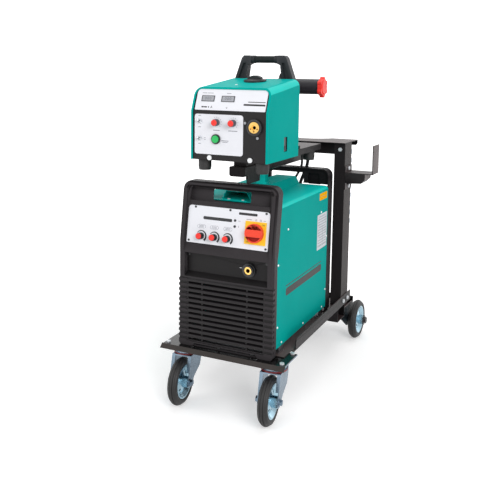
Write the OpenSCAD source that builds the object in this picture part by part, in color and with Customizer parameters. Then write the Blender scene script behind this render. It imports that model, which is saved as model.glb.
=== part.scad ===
// MIG welder on a trolley: a power source below, a wire feeder on an arm above it,
// and a gas cylinder shelf behind. The front faces -Y and the floor is Z = 0.
// Inside the modules Z = 0 is the top of the front plate and Y = 0 the front of the source.

/* [Wheels] */
// Diameter of all four wheels
wheel_dia = 150; // [125:5:160]
// Width of the tyres
tyre_w = 32; // [26:2:40]
// Width of the wheel hubs
hub_w = 58; // [50:2:62]
// Diameter of the rear axle
axle_dia = 20; // [16:1:22]
// Diameter of the front wheel bolts
bolt_dia = 12; // [10:1:14]
// Distance between the two front swivel axes
caster_span = 304; // [280:4:320]
// Steering angle of the left front wheel
steer_left = 5; // [-20:1:20]
// Steering angle of the right front wheel
steer_right = 5; // [-20:1:20]
// How far a front wheel trails its swivel axis
caster_trail = 46; // [40:2:50]
// Distance from the trolley plate down to the front wheel axis
caster_drop = 116; // [110:2:130]
// Distance between the rear wheel centres
rear_span = 370; // [366:2:400]
// Distance from the columns back to the rear axle
axle_back = 150; // [140:5:200]

/* [Trolley] */
// Width of the front plate
plate_w = 420; // [400:5:460]
// Depth of the front plate
plate_d = 118; // [114:2:140]
// How far the front plate stands out in front of the source
plate_out = 32; // [24:2:50]
// Height of the lip folded down round the front plate
plate_lip = 12; // [8:1:18]
// Sheet thickness of the trolley
sheet = 3; // [2:0.5:4]
// Width over the side rails
rail_span = 384; // [380:2:400]
// Height of the side rails
rail_h = 36; // [30:2:50]
// Width of the rail leg that the source stands on
rail_leg = 55; // [50:1:70]
// Width of a rear column
column_w = 40; // [30:2:46]
// Depth of a rear column
column_d = 80; // [60:5:90]
// Height of the columns above the source
column_over = 85; // [70:5:100]
// Gap between the source and the columns
column_gap = 45; // [35:5:60]
// Height of the crossbar between the columns
crossbar_h = 40; // [30:2:50]
// Depth of the shelf on top of the columns
shelf_d = 160; // [140:5:180]
// Diameter of the gas cylinder that the trolley takes
cylinder_dia = 204; // [180:2:220]
// Height of the beam under the columns
beam_h = 62; // [50:2:70]
// Drop from the rails to the cylinder shelf
shelf_drop = 85; // [80:1:90]
// Width of the arm under the feeder
arm_w = 54; // [40:2:60]
// Height of the arm under the feeder
arm_h = 30; // [25:1:34]
// Reach of the side hook
hook_out = 100; // [80:5:130]
// Height of the upright on the side hook
hook_up = 104; // [80:2:130]

/* [Power source] */
// Width of the power source
source_w = 320; // [300:5:330]
// Height of the power source frames
source_h = 518; // [500:2:530]
// Distance from the front of the source to the back of its cover
cover_rear = 480; // [420:5:520]
// Drop from the top of the source to the cover's roof
cover_drop = 57; // [53:1:63]
// Height of the cover's lower edge
cover_low = 26; // [20:1:32]
// Sheet thickness of the covers
skin = 1.5; // [1:0.1:2]
// Depth of the front frame
bezel_d = 29; // [26:1:34]
// Depth of the rear frame
rear_d = 45; // [40:1:50]
// Wall thickness of the frames
bezel_t = 4; // [3:0.5:6]
// Height of the part of the front that leans back
lean_h = 193; // [184:1:198]
// How far the top of the front leans back
lean_out = 30; // [20:1:34]
// Width of the hand holes
grip_w = 128; // [110:2:140]
// Height of the hand holes
grip_h = 38; // [34:1:40]
// Number of slots in the grille
louvres = 13; // [9:1:14]
// Diameter of the control knobs
knob_dia = 21; // [18:1:28]
// Distance between the control knobs
knob_pitch = 45; // [38:1:48]
// Diameter of the main switch knob
switch_dia = 57; // [48:1:62]
// Bore of the output socket
dinse_bore = 13; // [9:0.5:13]
// Diameter of the fan
fan_dia = 140; // [120:5:160]

/* [Feeder] */
// Width of the feeder
feeder_w = 255; // [245:1:270]
// Height of the feeder's front edge
feeder_edge = 148; // [144:1:160]
// Height of the sloping display face
feeder_slope = 72; // [66:1:80]
// How far the display face leans back
feeder_lean = 29; // [24:1:36]
// Depth of the feeder's cover
feeder_d = 245; // [235:1:260]
// Rise of the feeder's roof towards the back
feeder_rise = 25; // [10:1:30]
// Length of the feeder's base
base_d = 470; // [460:5:485]
// Bore of the torch socket
torch_bore = 10; // [8:0.5:11]
// Diameter of the torch socket
torch_dia = 33; // [30:1:42]
// Diameter of the spool hub
hub_dia = 50; // [44:1:52]
// Length of the spool hub
hub_len = 118; // [100:2:130]
// Height of the carrying handle
handle_h = 78; // [70:1:90]
// Diameter of the handle's grip
handle_dia = 26; // [22:1:30]

/* [Hidden] */
$fn = 48;
fit = 0.05;      // radial play of a running fit
gap = 0.3;       // space between a moving piece and its neighbour
over = 1;        // how far a cutter reaches past what it cuts

// ---- trolley levels and places
wheel_r = wheel_dia / 2;
floor_z = -sheet - caster_drop - wheel_r;
axle_z = floor_z + wheel_r;
caster_y = plate_d / 2 - plate_out + 11;
caster_bolt_x = 84;
caster_bolt_y = 86;
caster_plate_w = 108;
caster_plate_d = 108;
caster_plate_t = 4;
front_wheel_y = caster_y - caster_trail;
steer = [steer_left, steer_right];
tread_r = 12;         // rounding of the tyre's tread
steer_min = min(abs(steer_left), abs(steer_right));
source_rear = cover_rear + rear_d;
column_y = source_rear + column_gap;
column_rear = column_y + column_d;
column_x = rail_span / 2 - sheet - column_w;
column_top = source_h + column_over;
rail_rear = column_rear + 28;
rail_front = 113;
beam_w = rail_span - 24;
rear_axle_y = column_rear + axle_back;
shelf_y = column_y - 15;
shelf_top = column_top + sheet;
cylinder_y = shelf_y + shelf_d + cylinder_dia / 2 - 50;
shelf_w = 280;
bracket_t = 5;
bracket_x = rear_span / 2 - hub_w / 2 - bracket_t - 2;
tray_rear = cylinder_y + cylinder_dia / 2;
cap_w = 11;
axle_end = rear_span / 2 + hub_w / 2 + gap + cap_w;
hook_x = rail_span / 2 - sheet;
hook_z = column_top - 107;
hook_box_w = 61;
hook_box_h = 34;
arm_top = column_top - crossbar_h;
arm_z = arm_top - arm_h;
arm_front = 77;

// ---- origin: bottom centre of the whole trolley
x_max = hook_x + hook_out + sheet;
x_min = -axle_end;
y_min = min(caster_y - tread_r - (caster_trail + wheel_r - tread_r) * cos(steer_min),
    -plate_out);
y_max = max(rear_axle_y + wheel_r, tray_rear);
x_mid = (x_max + x_min) / 2;
y_mid = (y_max + y_min) / 2;

// ---- power source
half_w = source_w / 2;
cover_top = source_h - cover_drop;
lean_z = source_h - lean_h;
step_z = lean_z - 25;
step_y = 7.2;
lean_a = atan(lean_out / lean_h);
rim_z = lean_z + 10;  // the rim stands upright up to here
rim_out = 26;         // how far the rim's top leans back
rim_w = 17;           // width of the rim beside the panel
window_w = source_w - 2 * rim_w;
frame_r = 26;
foot_r = 10;
cover_r = 12;
cover_half = half_w - 0.5;
rear_low = sheet;
hole_z = source_h - 18 - grip_h;
recess_w = window_w - 2;
recess_d = 14;
panel_w = 274;
panel_h = 115;
panel_s = 4;          // along the lean, from the foot of the lean to the panel
panel_t = 2;
slot_w = 264;
slot_h = 8;
grille_low = 14;
grille_top = step_z - 81;
socket_w = 280;
socket_low = grille_top + 4;
socket_depth = 18;
socket_x = 74;
socket_z = socket_low + 41;
socket_dia = 42;
knob_s = 27;
knob_x0 = -87;
knob_h = 22;
knob_gap = 0.5;
stem_r = 3;
switch_x = 94;
switch_s = 54;
lamp_x = 24;
lamp_s = [67, 85];
switch_plate_w = 68;
switch_plate_t = 3;
switch_h = 17;
bridge_top = cover_top + 26;
bridge_w = 74;
bridge_foot = 104;
bridge_front = 76;
post_r = 17;
post_y = 275;
groove = 2.5;
fan_y = cover_rear - 42;
fan_z = 250;

// ---- feeder
fw = feeder_w / 2;
arm_gap = 24;
feeder_z = arm_top + arm_gap;
feeder_y = 18;
base_top = feeder_z + 20;
base_t = 3;
base_rear = feeder_y + base_d;
edge_z = feeder_z + feeder_edge;
roof_z = edge_z + feeder_slope;
roof_y = feeder_y + feeder_lean;
feeder_rear = feeder_y + feeder_d;
roof_a = atan(feeder_rise / (feeder_rear - roof_y));
slope_a = atan(feeder_lean / feeder_slope);
slope_len = sqrt(pow(feeder_lean, 2) + pow(feeder_slope, 2));
feeder_r = 24;
cover_lip = 6;        // width of the lip folded in round the cover's front
front_t = 3;
torch_x = 85;
torch_len = 48;
torch_z = feeder_z + 105;
toggle_x = -98;
toggle_z = [feeder_z + 65, feeder_z + 117];
fknob_x = [-40, 15];
fknob_z = feeder_z + 115;
button_x = -42;
button_z = feeder_z + 65;
button_r = 11;
button_travel = 3;
foot_x = 97;
foot_y = [50, 445];
foot_dia = 40;
foot_drop = 34;
handle_foot = 104;
handle_top = 77;
handle_t = 36;
handle_base = roof_z + 22;
lock_x = 5;
lock_y = 190;
hub_y = 425;
hub_z = feeder_z + 218;
hub_x = 22;
spool_bracket_w = 70;
shaft_r = 8;
nut_w = 16;
roll_r = 15;
roll_y = 95;
roll_w = 12;
drive_x = torch_x - 14;
arm_pivot_y = 135;
arm_pivot_z = torch_z + 12;

// Routes of the two leads from the feeder's underside to the back of the source
weld_dia = 12;
control_dia = 9;
lead_x = [26, -10];
lead_z = feeder_z - 215;
lead_y = column_y - 21;
function lead(from_y, points) = [for (p = points)
    [p[0], from_y + p[1] * (lead_y - from_y), feeder_z + p[2]]];
weld_route = lead(base_rear - 18, [[72, 0, 16.8], [71.5, 0.03, 5], [69, 0.28, -9],
    [66, 0.58, -21], [60, 0.86, -41], [55, 0.975, -62], [50, 1, -79], [44, 1, -94],
    [37, 1, -112], [30, 1, -131], [27, 1, -157], [26, 1, -182], [26, 1, -202.8]]);
control_route = lead(base_rear - 48, [[66, 0, 16.8], [66, 0.025, 5], [64, 0.165, -10],
    [60, 0.35, -25], [52, 0.55, -40], [43, 0.76, -55], [35, 0.92, -70], [26, 0.99, -86],
    [17, 1, -103], [8, 1, -119], [1, 1, -135], [-5, 1, -155], [-9, 1, -179],
    [-10, 1, -204.8]]);

// ---------------------------------------------------------------- helpers

module to_origin() {
    translate([-x_mid, -y_mid, -floor_z]) children();
}

module box(from, to) {
    translate(from) cube(to - from);
}

// Rectangle w by h standing on the origin, with its own top and bottom corner radii
module round_rect(w, h, top_r, low_r) {
    translate([-w / 2, low_r]) square([w, h - low_r - top_r]);
    translate([-w / 2 + top_r, low_r]) square([w - 2 * top_r, h - low_r]);
    translate([-w / 2 + low_r, 0]) square([w - 2 * low_r, low_r + 0.01]);
    for (side = [-1, 1]) {
        translate([side * (w / 2 - top_r), h - top_r]) circle(top_r);
        translate([side * (w / 2 - low_r), low_r]) circle(low_r);
    }
}

// Extrude an outline drawn in X and Z from y0 to y1
module along_y(y0, y1) {
    translate([0, y1, 0]) rotate([90, 0, 0]) linear_extrude(y1 - y0) children();
}

// Extrude an outline drawn in Y and Z from x0 to x1
module along_x(x0, x1) {
    translate([x0, 0, 0]) rotate([90, 0, 90]) linear_extrude(x1 - x0) children();
}

module rod_x(x0, x1, r) {
    translate([x0, 0, 0]) rotate([0, 90, 0]) cylinder(h = x1 - x0, r = r);
}

// Cylinder whose axis runs from y0 to y1 at x = 0, z = 0
module rod_y(y0, y1, r) {
    translate([0, y0, 0]) rotate([-90, 0, 0]) cylinder(h = y1 - y0, r = r);
}

// Local frame on the leaning part of the source's front: Z runs up the slope, -Y outwards
module on_lean(x, s) {
    translate([0, step_y, lean_z]) rotate([-lean_a, 0, 0]) translate([x, 0, s]) children();
}

// Local frame on the feeder's sloping display face
module on_slope(x, s) {
    translate([0, feeder_y, edge_z]) rotate([-slope_a, 0, 0]) translate([x, 0, s]) children();
}

// Local frame on the feeder's sloping roof: Z stands off the roof
module on_roof(x, y) {
    translate([x, y, roof_z + (y - roof_y) * tan(roof_a)]) rotate([roof_a, 0, 0]) children();
}

module hex_head(r, h) {
    cylinder(h = h, r = r, $fn = 6);
}

// Ring sections swept along a list of points
function unit(v) = v / norm(v);
function tangent(p, i) = unit(p[min(i + 1, len(p) - 1)] - p[max(i - 1, 0)]);
function bend(p0, p1, p2, p3, t) = 0.5 * (2 * p1 + (p2 - p0) * t
    + (2 * p0 - 5 * p1 + 4 * p2 - p3) * t * t + (3 * p1 - p0 - 3 * p2 + p3) * t * t * t);
function smooth(p, n) = [for (i = [0 : len(p) - 2]) for (k = [0 : n - 1])
    bend(p[max(i - 1, 0)], p[i], p[i + 1], p[min(i + 2, len(p) - 1)], k / n), p[len(p) - 1]];

module swept_tube(route, dia, sides) {
    path = smooth(route, 3);
    count = len(path);
    rings = [for (i = [0 : count - 1])
        let (t = tangent(path, i), u = unit(cross(t, [1, 0, 0])), v = cross(t, u))
        for (k = [0 : sides - 1])
        path[i] + dia / 2 * (cos(360 * k / sides) * u + sin(360 * k / sides) * v)];
    walls = [for (i = [0 : count - 2]) for (k = [0 : sides - 1])
        [i * sides + k, i * sides + (k + 1) % sides,
        (i + 1) * sides + (k + 1) % sides, (i + 1) * sides + k]];
    near_end = [for (k = [0 : sides - 1]) sides - 1 - k];
    far_end = [for (k = [0 : sides - 1]) (count - 1) * sides + k];
    polyhedron(points = rings, faces = concat(walls, [near_end], [far_end]));
}

// ---------------------------------------------------------------- trolley

module front_plate() {
    color([0.09, 0.085, 0.09]) to_origin() difference() {
        union() {
            box([4 - plate_w / 2, plate_lip - plate_out, -sheet],
                [plate_w / 2 - 4, plate_d - plate_out, 0]);
            along_x(-plate_w / 2, plate_w / 2) polygon([
                [plate_lip - plate_out + 2, 0], [plate_lip - plate_out, 0],
                [-plate_out, -plate_lip], [sheet * 1.4 - plate_out, -plate_lip],
                [plate_lip - plate_out + 2, -sheet]]);
        }
        for (sx = [-1, 1], bx = [-1, 1], by = [-1, 1])
            translate([sx * caster_span / 2 + bx * caster_bolt_x / 2,
                caster_y + by * caster_bolt_y / 2, -sheet - over])
                cylinder(h = sheet + 2 * over, r = 4.5);
    }
}

rail_bolts = [column_y + 18, column_rear - 14];
rail_bolt_z = 18;
leg_edge = (caster_span + caster_bolt_x) / 2 - 12;   // clear of the caster bolts

module side_rails() {
    color([0.09, 0.085, 0.09]) to_origin() for (side = [0, 1]) mirror([side, 0, 0])
        difference() {
            union() {
                box([rail_span / 2 - rail_leg, plate_d - plate_out - 46, 0],
                    [leg_edge, rail_rear, sheet]);
                box([leg_edge - 0.01, plate_d - plate_out + 13, 0],
                    [rail_span / 2, rail_rear, sheet]);
                along_x(rail_span / 2 - sheet, rail_span / 2) {
                    translate([rail_front + 14, sheet]) square([rail_rear - rail_front - 14,
                        rail_h - sheet]);
                    translate([rail_front, sheet]) square([15, rail_h - sheet - 14]);
                    translate([rail_front + 14, rail_h - 14]) circle(14);
                }
            }
            for (y = rail_bolts) translate([0, y, rail_bolt_z])
                rod_x(rail_span / 2 - sheet - over, rail_span / 2 + over, 4.5);
        }
}

module rear_columns() {
    color([0.1, 0.09, 0.09]) to_origin() for (side = [0, 1]) mirror([side, 0, 0])
        difference() {
            box([column_x, column_y, sheet], [column_x + column_w, column_rear, column_top]);
            box([column_x + sheet, column_y + sheet, sheet - over],
                [column_x + column_w - sheet, column_rear - sheet, column_top + over]);
            for (y = rail_bolts) translate([0, y, rail_bolt_z])
                rod_x(column_x + column_w - sheet - over, column_x + column_w + over, 4.5);
        }
}

// Crossbar between the columns, with the shelf plate that steadies the gas cylinder
module crossbar() {
    color([0.1, 0.09, 0.09]) to_origin() {
        difference() {
            box([-column_x, column_y, arm_top], [column_x, column_y + crossbar_h, column_top]);
            box([-column_x - over, column_y + sheet, arm_top + sheet],
                [column_x + over, column_y + crossbar_h - sheet, column_top - sheet]);
        }
        difference() {
            union() {
                box([-rail_span / 2, shelf_y, column_top],
                    [rail_span / 2, shelf_y + shelf_d, shelf_top]);
                for (side = [0, 1]) mirror([side, 0, 0])
                    along_y(shelf_y + shelf_d - sheet, shelf_y + shelf_d)
                        translate([rail_span / 2 - 21, column_top - 18])
                        round_rect(42, 19, 0.5, 10);
            }
            translate([0, cylinder_y, column_top - over])
                cylinder(h = sheet + 2 * over, r = cylinder_dia / 2 + 3);
        }
    }
}

module feeder_arm() {
    color([0.09, 0.085, 0.09]) to_origin() {
        difference() {
            along_y(arm_front, column_rear - 20) translate([0, arm_z])
                round_rect(arm_w, arm_h, 1, 7);
            along_y(arm_front + sheet, column_rear) translate([0, arm_z + sheet])
                round_rect(arm_w - 2 * sheet, arm_h - 2 * sheet, 0.5, 4);
        }
        box([arm_w / 2 - sheet, arm_front + 18, arm_z - 24],
            [arm_w / 2, arm_front + 113, arm_z + 8]);
        // saddle that the feeder's base is bolted down on
        for (y = [arm_front + 20, 300])
            box([-arm_w / 2 + 6, y, arm_top], [arm_w / 2 - 6, y + 60, base_top - base_t]);
    }
}

// Beam under the columns, with the two side brackets that carry the rear axle
module rear_beam() {
    low = axle_z - 26;
    color([0.08, 0.08, 0.085]) to_origin() {
        difference() {
            box([-beam_w / 2, column_y, -beam_h], [beam_w / 2, column_rear, 0]);
            box([-beam_w / 2 - over, column_y + sheet, -beam_h + sheet],
                [beam_w / 2 + over, column_rear - sheet, -sheet]);
        }
        for (side = [0, 1]) mirror([side, 0, 0]) difference() {
            along_x(bracket_x, bracket_x + bracket_t) {
                polygon([[column_rear, -beam_h], [column_rear, -4],
                    [rear_axle_y - 60, -shelf_drop + 24], [rear_axle_y + 40, -shelf_drop + 24],
                    [rear_axle_y + 40, axle_z], [rear_axle_y + 14, low],
                    [rear_axle_y - 22, low]]);
            }
            translate([0, rear_axle_y, axle_z])
                rod_x(bracket_x - over, bracket_x + bracket_t + over, axle_dia / 2 + fit);
        }
    }
}

module cylinder_shelf() {
    inner = bracket_x;
    color([0.09, 0.085, 0.09]) to_origin() difference() {
        union() {
            box([-inner, column_rear, -shelf_drop], [inner, tray_rear, -shelf_drop + sheet]);
            box([-inner, tray_rear - sheet, -shelf_drop], [inner, tray_rear, -shelf_drop + 34]);
            for (side = [0, 1]) mirror([side, 0, 0])
                box([inner - sheet, column_rear, -shelf_drop],
                    [inner, tray_rear, -shelf_drop + 16]);
        }
        for (y = [cylinder_y - 60, cylinder_y + 60])
            translate([0, y, -shelf_drop - over]) cylinder(h = sheet + 2 * over, r = 12);
    }
}

// Axle rod, the two wheel bushes and the two end caps
module rear_axle() {
    color([0.55, 0.56, 0.58]) to_origin() translate([0, rear_axle_y, axle_z]) {
        rod_x(-axle_end + 4, axle_end - 4, axle_dia / 2);
        for (side = [0, 1]) mirror([side, 0, 0]) {
            difference() {
                rod_x(rear_span / 2 - hub_w / 2 - 1.5, rear_span / 2 + hub_w / 2 + gap, 14);
                rod_x(rear_span / 2 - hub_w / 2 - 4, rear_span / 2 + hub_w / 2 + 4,
                    axle_dia / 2 + fit);
            }
            difference() {
                union() {
                    rod_x(axle_end - cap_w, axle_end - cap_w + 3, 19);
                    translate([axle_end - cap_w, 0, 0]) rotate([0, 90, 0])
                        hex_head(13, cap_w);
                }
                rod_x(axle_end - cap_w - over, axle_end - 4 + fit, axle_dia / 2 + fit);
            }
        }
    }
}

module hook_bracket() {
    hook_y = column_y + 1;
    hook_rear = column_rear - 1;
    color([0.13, 0.11, 0.11]) to_origin() {
        box([hook_x, hook_y, hook_z], [hook_x + hook_out + sheet, hook_rear, hook_z + sheet]);
        box([hook_x + hook_out, hook_y, hook_z],
            [hook_x + hook_out + sheet, hook_rear, hook_z + hook_up]);
        difference() {
            along_y(hook_y, hook_rear) polygon([
                [hook_x, hook_z + 0.01], [hook_x, hook_z - hook_box_h],
                [hook_x + 12, hook_z - hook_box_h - 3],
                [hook_x + hook_box_w, hook_z - hook_box_h],
                [hook_x + hook_box_w + 14, hook_z - hook_box_h + 14],
                [hook_x + hook_box_w + 14, hook_z + 0.01]]);
            along_y(hook_y + sheet, hook_rear - sheet) polygon([
                [hook_x + sheet, hook_z - sheet], [hook_x + sheet, hook_z - hook_box_h + sheet],
                [hook_x + hook_box_w - sheet, hook_z - hook_box_h + sheet],
                [hook_x + hook_box_w + 10, hook_z - hook_box_h + 18],
                [hook_x + hook_box_w + 10, hook_z - sheet]]);
        }
        difference() {
            box([hook_x, hook_y, hook_z - 60], [hook_x + sheet, hook_rear, hook_z + 24]);
            for (z = [hook_z - 50, hook_z + 14]) translate([0, column_y + column_d / 2, z])
                rod_x(hook_x - over, hook_x + sheet + over, 4.5);
        }
    }
}

// Chain that holds the gas cylinder: it hangs between the columns behind the crossbar
chain_wire = 1.6;
chain_len = 22;
chain_w = 11;
chain_pitch = chain_len - 4 * chain_wire + 2 * gap;
chain_z = column_top - 37;
chain_y = column_rear + 7;
chain_sag = 96;
chain_count = 21;
chain_tail = 17;

module chain_link() {
    run = chain_len - chain_w;
    for (s = [-1, 1]) {
        translate([0, 0, s * run / 2]) rotate([s * 90, 0, 0]) rotate_extrude(angle = 180)
            translate([chain_w / 2 - chain_wire, 0]) circle(chain_wire, $fn = 16);
        translate([s * (chain_w / 2 - chain_wire), 0, -run / 2])
            cylinder(h = run, r = chain_wire, $fn = 16);
    }
}

function chain_z_at(x) = -chain_sag * (1 - pow(x / column_x, 2));
function chain_x(i) = column_x * 0.985 * (2 * i / (chain_count - 1) - 1);

module retaining_chain() {
    color([0.72, 0.72, 0.74]) to_origin() {
        for (i = [0 : chain_tail - 1])
            translate([column_x + column_w - 6, chain_y, chain_z - i * chain_pitch])
                rotate([0, 0, i % 2 * 90]) chain_link();
        for (side = [-1, 1]) translate([side * (column_x + column_w - 6), column_rear,
            chain_z + chain_len / 2 - chain_wire])
            rod_y(0, 12, 3);
    }
}

// Hexagon bolts of the trolley
module hex_bolts() {
    color([0.75, 0.76, 0.78]) to_origin() {
        for (sx = [-1, 1], bx = [-1, 1], by = [-1, 1])
            translate([sx * caster_span / 2 + bx * caster_bolt_x / 2,
                caster_y + by * caster_bolt_y / 2, 0]) {
                if (bx * sx > 0) hex_head(7.5, 5);
                translate([0, 0, -sheet - caster_plate_t - 9]) cylinder(h = 9 + sheet
                    + caster_plate_t, r = 4);
                translate([0, 0, -sheet - caster_plate_t - 6.5]) hex_head(7.5, 6.5);
            }
        for (side = [-1, 1], y = rail_bolts) translate([side * rail_span / 2, y, rail_bolt_z])
            rotate([0, side * 90, 0]) {
                hex_head(7.5, 5);
                translate([0, 0, -sheet - sheet]) cylinder(h = 2 * sheet, r = 4);
            }
        for (z = [hook_z - 50, hook_z + 14])
            translate([hook_x + sheet, column_y + column_d / 2, z]) rotate([0, 90, 0])
                hex_head(7.5, 4);
        for (side = [-1, 1]) translate([side * (column_x + column_w / 2 + 2), column_y,
            column_top - 22]) rotate([90, 0, 0]) hex_head(7.5, 5);
    }
}

// ---------------------------------------------------------------- casters and wheels

crown_h = 4;
race_h = caster_drop - wheel_r - caster_plate_t - crown_h - gap - 4;   // 4 clear of the tyre

module caster_plates() {
    color([0.72, 0.74, 0.78]) to_origin() for (side = [-1, 1])
        translate([side * caster_span / 2, caster_y, -sheet - caster_plate_t]) {
            difference() {
                union() {
                    translate([-caster_plate_w / 2, -caster_plate_d / 2, 0])
                        cube([caster_plate_w, caster_plate_d, caster_plate_t]);
                    translate([0, 0, -race_h]) cylinder(h = race_h + 0.01, r = 26);
                    translate([0, 0, -race_h]) cylinder(h = race_h - 12, r = 38);
                    translate([0, 0, -race_h - 6]) cylinder(h = race_h, r = 6);
                }
                for (bx = [-1, 1], by = [-1, 1])
                    translate([bx * caster_bolt_x / 2, by * caster_bolt_y / 2, -over])
                        cylinder(h = caster_plate_t + 2 * over, r = 4.5);
            }
            translate([0, 0, -race_h]) difference() {
                cylinder(h = 5, r = 41);
                translate([0, 0, -over]) cylinder(h = 5 + 2 * over, r = 38.2);
            }
        }
}

// Local frame of one front wheel, turned about its swivel axis; i is 0 left, 1 right
module at_caster(i) {
    translate([(2 * i - 1) * caster_span / 2, caster_y, 0]) rotate([0, 0, steer[i]])
        translate([0, -caster_y, 0]) children();
}

crown_top = -sheet - caster_plate_t - race_h - gap;
crown_low = crown_top - crown_h;
flange_y = caster_y - 40 - 0.6 * (caster_trail - 25);
flange_z = crown_low + 0.6 * (axle_z - crown_low);
leg_gap = hub_w / 2 + 1;
leg_t = 3;

// Fork with its wheel bolt
module caster_fork(i) {
    color([0.68, 0.71, 0.76]) to_origin() at_caster(i) {
        difference() {
            union() {
                translate([0, caster_y, crown_low]) cylinder(h = crown_h, r = 36);
                box([-leg_gap - leg_t, caster_y - 40, crown_low],
                    [leg_gap + leg_t, caster_y + 42, crown_top]);
                for (side = [0, 1]) mirror([side, 0, 0]) {
                    along_x(leg_gap, leg_gap + leg_t) {
                        polygon([[caster_y - 40, crown_low + 1], [caster_y + 42, crown_low + 1],
                            [caster_y + 40, crown_low - 20], [caster_y + 29, axle_z + 32],
                            [front_wheel_y + 33, axle_z + 11],
                            [front_wheel_y + 15, axle_z - 4], [front_wheel_y - 15, axle_z]]);
                        translate([front_wheel_y, axle_z]) circle(16);
                    }
                    along_x(leg_gap - 8, leg_gap + 1) polygon([[caster_y - 40, crown_low + 1],
                        [caster_y - 37, crown_low + 1], [flange_y + 3, flange_z],
                        [flange_y, flange_z]]);
                }
            }
            translate([0, caster_y, crown_low - over])
                cylinder(h = crown_h + 2 * over, r = 6 + fit);
            translate([0, front_wheel_y, axle_z])
                rod_x(-leg_gap - leg_t - over, leg_gap + leg_t + over, bolt_dia / 2 + fit);
        }
        translate([0, front_wheel_y, axle_z]) {
            rod_x(-leg_gap - leg_t - 2, leg_gap + leg_t + 9, bolt_dia / 2);
            for (side = [0, 1]) mirror([side, 0, 0]) difference() {
                union() {
                    rod_x(leg_gap + leg_t, leg_gap + leg_t + 1.6, 12);
                    translate([leg_gap + leg_t, 0, 0]) rotate([0, 90, 0]) hex_head(10, 8);
                }
                rod_x(leg_gap, leg_gap + leg_t + 12, bolt_dia / 2 + fit);
            }
            difference() {
                rod_x(-leg_gap, leg_gap, 14);
                rod_x(-leg_gap - over, leg_gap + over, bolt_dia / 2 + fit);
            }
        }
    }
}
module caster_fork_left() { caster_fork(0); }
module caster_fork_right() { caster_fork(1); }

rim_r = wheel_r - 22;

// Rubber tyre with ribs round its tread
module tyre() {
    color([0.07, 0.07, 0.075]) rotate([0, 90, 0])
        rotate_extrude($fn = 96) difference() {
            union() {
                translate([rim_r, -tyre_w / 2 + 4]) square([16, tyre_w - 8]);
                translate([wheel_r - tread_r, 0]) circle(tread_r);
                translate([wheel_r - 15, -tyre_w / 2 + 9]) square([12, tyre_w - 18]);
                for (s = [-1, 1]) translate([wheel_r - 13, s * (tyre_w / 2 - 8)]) circle(8);
            }
            for (s = [-1, 1]) {
                translate([wheel_r - 3.2, s * 4.5 - 0.9]) square([4, 1.8]);
                translate([wheel_r - 5, s * 10.5 - 0.9]) square([6, 1.8]);
            }
        }
}

// Pressed steel rim with its hub tube
module rim() {
    web = 2.5;
    color([0.7, 0.78, 0.84]) rotate([0, 90, 0])
        difference() {
            rotate_extrude($fn = 72) {
                translate([14 + fit, -hub_w / 2]) square([4, hub_w]);
                for (s = [-1, 1]) {
                    polygon([[17, s * 8], [17, s * 11], [rim_r - 14, s * 3],
                        [rim_r - 14, s * 0.2]]);
                    polygon([[rim_r - 14, s * 0.2], [rim_r - 14, s * 3],
                        [rim_r - 4, s * (tyre_w / 2 - 2)], [rim_r - 0.1, s * (tyre_w / 2 - 2)],
                        [rim_r - 0.1, s * (tyre_w / 2 - 4.5)], [rim_r - web - 1.6, s * 8],
                        [rim_r - web - 1.6, 0]]);
                }
            }
            for (a = [0 : 90 : 270]) rotate([0, 0, a + 45]) translate([29, 0, -12])
                cylinder(h = 24, r = 4.5);
        }
}
module at_front(i) {
    to_origin() at_caster(i) translate([0, front_wheel_y, axle_z]) children();
}
module at_rear(i) {
    to_origin() translate([(2 * i - 1) * rear_span / 2, rear_axle_y, axle_z]) children();
}
module front_tyre_left() { at_front(0) tyre(); }
module front_tyre_right() { at_front(1) tyre(); }
module front_rim_left() { at_front(0) rim(); }
module front_rim_right() { at_front(1) rim(); }
module rear_tyre_left() { at_rear(0) tyre(); }
module rear_tyre_right() { at_rear(1) tyre(); }
module rear_rim_left() { at_rear(0) rim(); }
module rear_rim_right() { at_rear(1) rim(); }

// ---------------------------------------------------------------- power source

// Outline of the front frame, inset all round
module frame_outline(inset) {
    translate([0, inset]) round_rect(source_w - 2 * inset, source_h - 2 * inset,
        frame_r - inset, max(foot_r - inset, 1));
}

// Side profile of the front frame between two depths behind its face
module lean_profile(front, back) {
    top_y = step_y + (lean_h + 2) * tan(lean_a);
    polygon([[front, -1], [front, step_z], [front + step_y, lean_z],
        [front + top_y, source_h + 2], [back + top_y, source_h + 2],
        [back + step_y, lean_z], [back, step_z], [back, -1]]);
}

// Side profile from the rim's face to a depth behind the panel's face
module rim_profile(back) {
    top_y = step_y + (lean_h + 2) * tan(lean_a);
    polygon([[0, -1], [0, rim_z], [rim_out * (source_h + 2 - rim_z) / (source_h - rim_z),
        source_h + 2], [back + top_y, source_h + 2], [back + step_y, lean_z],
        [back, step_z], [back, -1]]);
}

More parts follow.
